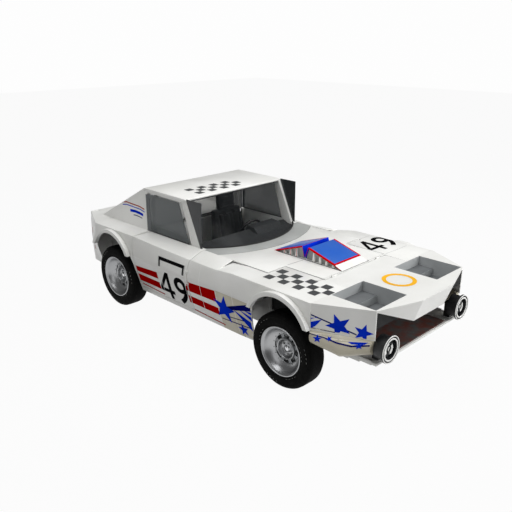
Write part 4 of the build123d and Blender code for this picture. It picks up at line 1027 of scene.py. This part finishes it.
class RACECAR_OT_cabin(bpy.types.Operator):
    """Trim the cabin: bucket seat with pads and harness, hoop, dash gauges and seals"""

    bl_idname = "racecar.cabin"
    bl_label = "Cabin"

    def execute(self, context):
        self.seat()
        self.hoop()
        self.dash()
        self.controls()
        self.steering()
        self.seals()
        return {"FINISHED"}

    def seat(self):
        """Moulded bucket under cloth, with swollen pads and a harness."""
        body = body_of("driver_seat")
        low, high = 0.105, 0.505
        bowl = form("bowl", (prism, [
            (-0.350, 0.432), (-0.352, 0.490), (-0.700, 0.478), (-0.800, 0.985), (-0.822, 1.004),
            (-0.872, 1.004), (-0.854, 0.432)], low, high))
        wing = [(-0.362, 0.432), (-0.362, 0.538), (-0.650, 0.552), (-0.722, 0.640), (-0.776, 0.930),
                (-0.866, 0.950), (-0.852, 0.432)]
        head = [(-0.812, 0.99), (-0.826, 1.176), (-0.840, 1.190), (-0.884, 1.190), (-0.868, 0.99)]
        wings = form("wings", (prism, wing, low - 0.004, low + 0.044),
                     (prism, wing, high - 0.044, high + 0.004), (prism, head, 0.185, 0.425),
                     *[(brick, (-0.80, y, 0.276), (-0.40, y + 0.04, 0.436)) for y in (0.14, 0.41)])
        mesh = joined("bucket", rounded(bowl, 26 * MM, 4), rounded(wings, 16 * MM))
        shell = new_piece("seat_bucket", mesh, body, "charcoal_seat_cloth", smooth=50)
        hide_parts("driver_seat")
        rests = [shell]
        for name, (outline, y0, y1, facing, axis, places, depth) in SEAT_PADS.items():
            mesh = puffed(rounded(form(name, (prism, outline, y0, y1)), 10 * MM), 7.5 * MM, 9 * MM)
            channels(mesh, axis, places, depth, 6 * MM, facing)
            pad = new_piece(name, mesh, body, "charcoal_seat_cloth", smooth=80)
            rests.append(pad)
        self.harness(body, rests)

    def harness(self, body, rests):
        """Shoulder straps that follow the seat back, lap straps on the base, and a buckle."""
        bm = bmesh.new()
        for piece in rests:
            bm.from_mesh(piece.data)
        tree = BVHTree.FromBMesh(bm)
        bm.free()
        lap_x, above, gap = -0.62, 0.9, 2 * MM
        for side, name in SIDE_NAMES.items():
            straps = {"shoulder": (Vector((0, 1, 0)), FORWARD, [
                          (0.2, SEAT_Y + side * 0.07 * min(1, 0.25 + step / 20), 0.545 + 0.44 * step / 25)
                          for step in range(26)]),
                      "lap": (FORWARD, UP, [
                          (lap_x - 0.04 * step / 11, SEAT_Y + side * (0.02 + 0.115 * step / 11), above)
                          for step in range(12)])}
            for strap, (across, facing, starts) in straps.items():
                hits = [tree.ray_cast(Vector(start), -facing)[0] for start in starts]
                spots = [hit + facing * gap for hit in hits if hit is not None]
                build(f"{strap}_strap_{name}", body, "harness_webbing",
                      (ribbon, spots, 0.048, 2.5 * MM, across))
        hit = tree.ray_cast(Vector((lap_x, SEAT_Y, above)), -UP)[0]
        z = hit.z + 3 * MM
        build("harness_buckle", body, "zinc_steel", (lathe, [
            (0.0005, z), (0.030, z), (0.033, z + 0.006), (0.030, z + 0.014), (0.010, z + 0.017),
            (0.0005, z + 0.017)], 32, (hit.x, hit.y, 0), "Z"))

    def hoop(self):
        """Smooth tube for the hoop, with foam sleeves and bolted feet."""
        body = body_of("roll_hoop")
        x, half, top, floor, bend = -0.976, 0.600, 1.280, 0.276, 0.07
        points = [Vector((x, -half, floor))]
        for side, start in ((-1, 180), (1, 90)):
            corner = (x, side * (half - bend), top - bend)
            points += [around(corner, bend, math.radians(start - 90 * step / 8), "X") for step in range(9)]
        points.append(Vector((x, half, floor)))
        hoop = new_piece("roll_hoop_tube", tube(points, 0.020, 16), body, "grey_primer")
        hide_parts("roll_hoop")
        sleeves = [tube([(x, y0, top), (x, y1, top)], 0.031, 16) for y0, y1 in ((-0.47, -0.05), (0.05, 0.47))]
        # Near-white trim board on the sleeves: painted light in the cabin
        new_piece("hoop_foam_sleeves", joined("sleeves", *sleeves), body, "trim_board_painted_light")
        foot, bolt = 0.05, [(0.0003, 0.280), (0.0003, 0.290), (0.008, 0.290), (0.009, 0.280)]
        parts = []
        for y in (-half, half):
            parts.append((brick, (x - foot, y - foot, 0.2745), (x + foot, y + foot, 0.2805)))
            parts += [(lathe, bolt, 6, (x + u, y + v, 0), "Z")
                      for u in (-0.036, 0.036) for v in (-0.036, 0.036)]
        build("hoop_feet", body, "zinc_steel", *parts, smooth=30)

    def dash(self):
        """Gauges with ticks and needles, and a row of switches."""
        body = body_of("dashboard")
        faces, rims = [], []
        for y, z, radius in GAUGES:
            faces.append((lathe, rect(0.0005, radius - 0.003, -0.290, -0.262), 32, (0, y, z), "X"))
            rims.append((lathe, [(radius - 0.004, -0.262), (radius, -0.262), (radius, -0.294),
                                 (radius - 0.002, -0.296), (radius - 0.004, -0.293)], 32, (0, y, z), "X"))
            size = Vector((0.0008, 0.0012, 0.0012))
            ticks = [around((-0.2912, y, z), 0.75 * radius, math.radians(30 * mark - 30), "X")
                     for mark in range(9)]
            rims += [(brick, spot - size, spot + size) for spot in ticks]
            tip = Vector((-0.2914, y, z))
            rims.append((brick, tip - Vector((0.0008, 0.001, 0.002)),
                         tip + Vector((0.0008, 0.001, 0.6 * radius))))
        build("gauge_faces", body, "moulded_black_plastic", *faces, smooth=30)
        build("gauge_rims", body, "bright_chrome", *rims, smooth=30)
        switch = [(0.0005, -0.300), (0.0005, -0.262), (0.008, -0.262), (0.008, -0.281), (0.004, -0.283),
                  (0.003, -0.300)]
        build("dash_switches", body, "zinc_steel",
              *[(lathe, switch, 12, (0, -0.24 - 0.045 * index, 0.842), "X") for index in range(6)])

    def controls(self):
        """Gear lever, pedals and fire bottle on the cabin's floor."""
        body = body_of("cabin_tub")
        lever = tube([(-0.30, 0, 0.418), (-0.315, 0, 0.50), (-0.345, 0.01, 0.585)], 0.008)
        new_piece("gear_lever", lever, body, "bright_chrome")

        def knob(bm):
            bmesh.ops.create_uvsphere(bm, u_segments=20, v_segments=12, radius=0.024,
                                      matrix=Matrix.Translation((-0.349, 0.011, 0.603)))

        gaiter = [(0.012, 0.419), (0.052, 0.419), (0.050, 0.430), (0.030, 0.448), (0.016, 0.462),
                  (0.012, 0.462)]
        build("gear_knob_and_gaiter", body, "stitched_black_leather", (knob,),
              (lathe, gaiter, 28, (-0.302, 0, 0), "Z"))
        pads = [(brick, (0.095, y - 0.028, 0.40), (0.105, y + 0.028, 0.47)) for y in (0.17, 0.28, 0.39)]
        arms = [(brick, (0.100, y - 0.006, 0.46), (0.206, y + 0.006, 0.474)) for y in (0.17, 0.28, 0.39)]
        build("pedals", body, "zinc_steel", *pads, *arms, edge=(2 * MM,))
        y, z = -0.30, 0.326
        build("fire_bottle", body, "signal_red_film", (lathe, [
            (0.0005, -0.62), (0.030, -0.62), (0.045, -0.605), (0.045, -0.345), (0.038, -0.325),
            (0.014, -0.315), (0.014, -0.29), (0.0005, -0.29)], 32, (0, y, z), "X"))
        clamps = []
        for x in (-0.56, -0.41):
            clamps += [(lathe, rect(0.0455, 0.0475, x - 0.012, x + 0.012), 32, (0, y, z), "X"),
                       (brick, (x - 0.012, y - 0.03, 0.2745), (x + 0.012, y + 0.03, 0.283))]
        build("fire_bottle_clamps", body, "zinc_steel", *clamps, smooth=30)

    def steering(self):
        """Smooth rim, three spokes and a boss, leaning with the column."""
        body = body_of("steering_wheel")
        centre, lean, left = Vector((-0.426, 0.28, 0.80)), math.radians(22), Vector((0, 1, 0))
        axis = Vector((-math.cos(lean), 0, math.sin(lean)))
        flat = Vector((math.sin(lean), 0, math.cos(lean)))

        def way(angle):
            return math.cos(angle) * left + math.sin(angle) * flat

        ring = [centre + 0.165 * way(2 * math.pi * i / 72) for i in range(72)]
        rim = new_piece("steering_rim", tube(ring, 0.014, 16, closed=True), body, "stitched_black_leather",
                        smooth=60)
        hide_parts("steering_wheel")
        spokes = []
        for angle in (0, 180, 270):
            along = way(math.radians(angle))
            off = along.cross(axis) * 0.013
            spokes.append((skin, [[centre + along * reach + off * wide * u + axis * v
                                   for u, v in rect(-1, 1, -0.002, 0.002)]
                                  for reach, wide in ((0.02, 1.3), (0.155, 0.8))]))
        build("steering_spokes", body, "spun_aluminium", *spokes, smooth=30)
        boss = form("boss", (lathe, [(0.0005, -0.010), (0.032, -0.010), (0.033, 0.006), (0.028, 0.012),
                                     (0.0005, 0.014)], 32, (0, 0, 0), "Z"))
        boss.transform(Matrix.Translation(centre) @ axis.to_track_quat("Z", "Y").to_matrix().to_4x4())
        new_piece("steering_boss", boss, body, "moulded_black_plastic")

    def seals(self):
        """Rubber along the glass, and posts at the rear of the side windows."""
        # The screen's foot is an arc through its two sides and its middle
        side_x, mid_x, half = -0.104, 0.166, 0.645
        bow = mid_x - side_x
        radius = (half * half + bow * bow) / (2 * bow)
        limit = math.asin(half / radius)
        foot = [around((mid_x - radius + 0.004, 0, 0.9165), radius, limit * (step / 20 - 1), "Z")
                for step in range(41)]
        top_side, top_mid = -0.337, -0.319
        head = [(top_mid + (top_side - top_mid) * (y / half) ** 2 + 0.001, y, 1.343)
                for y in (half * (step / 10 - 1) for step in range(21))]
        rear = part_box("rear_window")
        corners = rect(rear[0].y + 0.012, rear[1].y - 0.012, rear[0].z + 0.012, rear[1].z - 0.012)
        seals = [("screen_foot_seal", foot, 0.0085, 10, "windscreen"),
                 ("screen_head_seal", head, 0.006, 10, "windscreen"),
                 ("rear_window_seal", [(rear[0].x - 0.001, y, z) for y, z in corners], 0.009, 10,
                  "rear_window")]
        for side, name in SIDE_NAMES.items():
            low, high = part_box(f"door_glass_{name}")
            sill = [(x, side * 0.6885, low.z + 0.004) for x in (low.x + 0.003, high.x - 0.006)]
            seals.append((f"door_glass_seal_{name}", sill, 0.0055, 8, f"door_{name}"))
            for post, node, x0, x1, y0, y1, drop in (
                    ("door_glass", "door", -0.031, 0.006, 0.6860, 0.6905, 0.004),
                    ("quarter_window", "rear_quarter", -0.062, -0.037, 0.672, 0.690, 0.012)):
                build(f"{post}_post_{name}", body_of(f"{node}_{name}"), "dark_primer_and_painted_shade",
                      (brick, (low.x + x0, side * y0, low.z), (low.x + x1, side * y1, high.z - drop)))
        for name, points, radius, sides, node in seals:
            mesh = tube(points, radius, sides, closed=node == "rear_window")
            new_piece(name, mesh, body_of(node), "black_rubber_seal")


# Body fittings
def studs(name, rows, body, finish, radius):
    """Rivet heads instanced on points by Geometry Nodes, then made a plain mesh.
    rows are (place, outward normal) pairs."""
    mesh = bpy.data.meshes.new(name)
    mesh.from_pydata([tuple(place) for place, _ in rows], [], [])
    aim = mesh.attributes.new("aim", "FLOAT_VECTOR", "POINT")
    for item, (_, normal) in zip(aim.data, rows):
        item.vector = normal
    tree = bpy.data.node_groups.new("rivet_heads", "GeometryNodeTree")
    face = tree.interface
    face.new_socket("Geometry", in_out="INPUT", socket_type="NodeSocketGeometry")
    head = face.new_socket("Head radius", in_out="INPUT", socket_type="NodeSocketFloat")
    face.new_socket("Geometry", in_out="OUTPUT", socket_type="NodeSocketGeometry")
    source, drain = add(tree, "NodeGroupInput"), add(tree, "NodeGroupOutput")
    ball = add(tree, "GeometryNodeMeshUVSphere", {"Segments": 8, "Rings": 6,
                                                  "Radius": source.outputs["Head radius"]})
    flat = add(tree, "GeometryNodeTransform", {"Geometry": ball, "Scale": (1.0, 1.0, 0.45)})
    named = add(tree, "GeometryNodeInputNamedAttribute", {"Name": "aim"}, data_type="FLOAT_VECTOR")
    turn = add(tree, "FunctionNodeAlignRotationToVector", {"Vector": named}, axis="Z")
    spread = add(tree, "GeometryNodeInstanceOnPoints", {"Points": source, "Instance": flat, "Rotation": turn})
    real = add(tree, "GeometryNodeRealizeInstances", {"Geometry": spread})
    paint = add(tree, "GeometryNodeSetMaterial", {"Geometry": real, "Material": finishes[finish]})
    tree.links.new(paint.outputs["Geometry"], drain.inputs["Geometry"])

    def rivet(holder):
        modifier = holder.modifiers.new("rivets", "NODES")
        modifier.node_group = tree
        modifier[head.identifier] = radius

    result = baked(mesh, rivet)
    result.materials.clear()
    new_piece(name, result, body, finish, smooth=60)


class RACECAR_OT_fittings(bpy.types.Operator):
    """Rivets, filler cap, engine dressing, brakes and rear fittings"""

    bl_idname = "racecar.fittings"
    bl_label = "Fittings"

    def execute(self, context):
        self.rivets(context.scene.racecar_sizes)
        self.engine()
        self.brakes()
        self.rear()
        return {"FINISHED"}

    def rivets(self, sizes):
        """Rivet rows along the doors' feet and on the roof's edges."""
        step, radius = sizes.rivet_step, sizes.rivet * 0.7
        graph = bpy.context.evaluated_depsgraph_get()
        for side, name in SIDE_NAMES.items():
            tree = BVHTree.FromObject(panels[f"door_{name}"], graph)
            starts = [Vector((-0.892 + step * i, side * BESIDE, 0.338)) for i in range(int(0.83 / step))]
            hits = [tree.ray_cast(start, Vector((0, -side, 0)))[:2] for start in starts]
            found = [(hit, normal) for hit, normal in hits if hit is not None and abs(hit.y) > SKIN_Y]
            studs(f"door_foot_rivets_{name}", found, body_of(f"door_{name}"), "seam_white_film", radius)
        roof = [((-0.99 + step * index, side * 0.672, 1.372), UP)
                for side in SIDE_NAMES for index in range(int(0.62 / step))]
        studs("roof_rivets", roof, body_of("roof"), "seam_white_film", radius)

    def engine(self):
        """Covers, intake, air cleaner, pulleys and headers of the engine."""
        body = body_of("engine_block")
        cover = ((0.075, 0.779), (0.215, 0.779), (0.200, 0.825), (0.090, 0.825))
        covers = [(prism, [(side * y, z) for y, z in cover], 0.410, 0.860, "YZ") for side in SIDE_NAMES]
        build("valve_covers", body, "spun_aluminium", *covers, edge=(8 * MM, 3, 25))
        build("intake_and_cleaner", body, "cast_aluminium", (lathe, [
            (0.0005, 0.800), (0.055, 0.800), (0.060, 0.818), (0.135, 0.822), (0.140, 0.828), (0.140, 0.868),
            (0.134, 0.874), (0.02, 0.878), (0.0005, 0.878)], 48, (0.62, 0, 0), "Z"),
            (brick, (0.45, -0.07, 0.779), (0.82, 0.07, 0.802)), smooth=35)
        pulleys = []
        for y, z, r in ((0.0, 0.46, 0.075), (0.0, 0.66, 0.065), (0.14, 0.62, 0.045), (-0.14, 0.60, 0.04)):
            groove = [(0.0005, 0.884), (r, 0.884), (r, 0.890), (r - 0.008, 0.896), (r, 0.902), (r, 0.908),
                      (0.0005, 0.908)]
            pulleys.append((lathe, groove, 32, (0, y, z), "X"))
        build("pulleys", body, "zinc_steel", *pulleys, smooth=40)
        headers = [tube([(x, side * 0.225, 0.70), (x, side * 0.27, 0.69), (x - 0.02, side * 0.30, 0.62),
                         (x - 0.05, side * 0.30, 0.48), (0.38, side * 0.30, 0.36)], 0.019, 10)
                   for side in SIDE_NAMES for x in (0.80 - 0.115 * index for index in range(4))]
        new_piece("exhaust_headers", joined("headers", *headers), body, "zinc_steel")

    def brakes(self):
        """Discs on the wheels and calipers on the knuckles."""
        disc = ((0.048, 0.752), (0.148, 0.752), (0.150, 0.755), (0.150, 0.767), (0.148, 0.770),
                (0.048, 0.770))
        caliper = ((1.010, 0.300), (1.060, 0.285), (1.115, 0.300), (1.115, 0.390), (1.060, 0.405),
                   (1.010, 0.390))
        for side, name in SIDE_NAMES.items():
            row = [(r, side * y) for r, y in disc]
            for end, x in AXLES.items():
                build(f"brake_disc_{end}_{name}", f"wheel_{end}_{name}", "zinc_steel",
                      (lathe, row, 56, (x, 0, HUB_Z)), smooth=30)
            build(f"caliper_{name}", body_of(f"steering_knuckle_{name}"), "signal_red_film",
                  (prism, caliper, side * 0.716, side * 0.748), edge=(4 * MM,))

    def rear(self):
        """Filler cap, blank plate, louvres, bumper strip and tail markers."""
        build("filler_cap", body_of("rear_deck"), "spun_aluminium", (lathe, [
            (0.0005, 0.911), (0.060, 0.911), (0.062, 0.918), (0.048, 0.921), (0.045, 0.934), (0.038, 0.938),
            (0.0005, 0.938)], 48, (-1.42, 0.36, 0), "Z"), smooth=35)
        body, x = body_of("tail_panel"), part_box("tail_panel")[0].x
        build("blank_plate", body, "seam_white_film",
              (brick, (x - 0.005, -0.26, 0.53), (x + 0.001, 0.26, 0.64)), edge=(1.5 * MM,))
        blade = ((-0.009, 0.0), (-0.007, 0.003), (0.001, 0.013), (0.001, 0.008))
        louvres = [(prism, [(x + u, z + v) for u, v in blade], -0.27, 0.27)
                   for z in (0.705 + 0.022 * index for index in range(7))]
        build("tail_louvres", body, "moulded_black_plastic", *louvres, smooth=0)
        build("rear_bumper_strip", body, "black_rubber_seal",
              (brick, (x - 0.013, -0.62, 0.405), (x + 0.001, 0.62, 0.465)), edge=(6 * MM, 3, 25))
        lay([("tail_marker", "signal_red_film", 1, (REAR_QUARTER,),
              [rect(-1.957, -1.935, 0.700, 0.768), rect(-1.952, -1.932, 0.498, 0.545)])])


# Stage
# Softboxes: place, target, size and power
SOFTBOXES = {
    "overhead_softbox": ((0.3, -0.4, 6.0), (0, 0, 0), 6.0, 285),
    "front_softbox": ((7.2, 1.6, 3.0), (-0.9, 0, 0.8), 2.5, 170),
    "front_left_softbox": ((4.6, 6.4, 3.2), (0.5, 0, 0.5), 4.0, 230),
    "near_side_softbox": ((1.5, -6.5, 2.6), (0, 0, 0.5), 4.0, 42),
}
FLOOR_HALF, FLOOR_Z, FLOOR_GLOW = 30.0, -0.001, 0.95
WHITE = (1, 1, 1, 1)


def seen_by(tree, first, *others):
    """Node or socket that is one for the given kinds of rays and zero for all others."""
    rays = add(tree, "ShaderNodeLightPath")
    seen = rays.outputs[f"Is {first} Ray"]
    for kind in others:
        seen = add(tree, "ShaderNodeMath", {0: seen, 1: rays.outputs[f"Is {kind} Ray"]}, operation="MAXIMUM")
    return seen


class RACECAR_OT_stage(bpy.types.Operator):
    """Make the floor, the lights and the camera"""

    bl_idname = "racecar.stage"
    bl_label = "Stage"

    def execute(self, context):
        scene = context.scene
        scene.view_settings.view_transform = "Standard"

        def put(name, data):
            thing = bpy.data.objects.new(name, data)
            scene.collection.objects.link(thing)
            return thing

        bm = bmesh.new()
        bm.faces.new([bm.verts.new((x, y, FLOOR_Z))
                      for x, y in rect(-FLOOR_HALF, FLOOR_HALF, -FLOOR_HALF, FLOOR_HALF)])
        floor = put("studio_floor", mesh_of(bm, "floor", turn_out=False))
        material = bpy.data.materials.new("white_studio_floor")
        tree = empty_tree(material)
        seen = seen_by(tree, "Camera", "Glossy", "Transmission")
        share = add(tree, "ShaderNodeMath", {0: seen, 1: FLOOR_GLOW}, operation="MULTIPLY")
        paint = add(tree, "ShaderNodeBsdfDiffuse", {"Color": linear("#b8b8b8")})
        glow = add(tree, "ShaderNodeEmission", {"Color": WHITE, "Strength": 1.0})
        mixed = add(tree, "ShaderNodeMixShader", {0: share, 1: paint, 2: glow})
        add(tree, "ShaderNodeOutputMaterial", {"Surface": mixed})
        floor.data.materials.append(material)

        world = bpy.data.worlds.new("soft_daylight")
        scene.world = world
        tree = empty_tree(world)
        soft = add(tree, "ShaderNodeBackground", {"Color": WHITE, "Strength": 0.17})
        plain = add(tree, "ShaderNodeBackground", {"Color": WHITE, "Strength": 0.985})
        seen = seen_by(tree, "Camera", "Transmission")
        mixed = add(tree, "ShaderNodeMixShader", {0: seen, 1: soft, 2: plain})
        add(tree, "ShaderNodeOutputWorld", {"Surface": mixed})

        for name, (place, target, size, power) in SOFTBOXES.items():
            light = bpy.data.lights.new(name, "AREA")
            light.size = size
            light.energy = power
            lamp = put(name, light)
            lamp.location = place
            lamp.rotation_euler = (Vector(target) - Vector(place)).to_track_quat("-Z", "Y").to_euler()

        eye = bpy.data.cameras.new("photo_view")
        eye.lens = 43.456
        eye.sensor_width = 36.0
        camera = put("photo_view", eye)
        back = Vector((2, -2, 1)).normalized()
        right = Vector((1, 1, 0)).normalized()
        turn = Matrix((right, back.cross(right), back)).transposed().to_4x4()
        camera.matrix_world = Matrix.Translation((4.314, -4.349, 2.862)) @ turn
        scene.camera = camera
        return {"FINISHED"}


class RACECAR_PT_panel(bpy.types.Panel):
    """List of the car's pieces"""

    bl_idname = "RACECAR_PT_panel"
    bl_label = "Race car"
    bl_space_type = "VIEW_3D"
    bl_region_type = "UI"
    bl_category = "Race car"

    def draw(self, context):
        layout = self.layout
        for group in (context.scene.racecar_colours, context.scene.racecar_sizes):
            for name in group.__annotations__:
                layout.prop(group, name)
        for operator in PIECES:
            layout.operator(operator.bl_idname)


PIECES = (RACECAR_OT_finishes, RACECAR_OT_panels, RACECAR_OT_livery, RACECAR_OT_wheels, RACECAR_OT_scoop,
          RACECAR_OT_lamps, RACECAR_OT_seams, RACECAR_OT_cabin, RACECAR_OT_fittings, RACECAR_OT_stage)
CLASSES = (CarColours, CarSizes) + PIECES + (RACECAR_PT_panel,)


def register():
    for cls in CLASSES:
        bpy.utils.register_class(cls)
    bpy.types.Scene.racecar_colours = bpy.props.PointerProperty(type=CarColours)
    bpy.types.Scene.racecar_sizes = bpy.props.PointerProperty(type=CarSizes)


def unregister():
    del bpy.types.Scene.racecar_colours
    del bpy.types.Scene.racecar_sizes
    for cls in reversed(CLASSES):
        bpy.utils.unregister_class(cls)


def main():
    register()
    for operator in PIECES:
        group, name = operator.bl_idname.split(".")
        getattr(getattr(bpy.ops, group), name)()


if __name__ == "__main__":
    main()
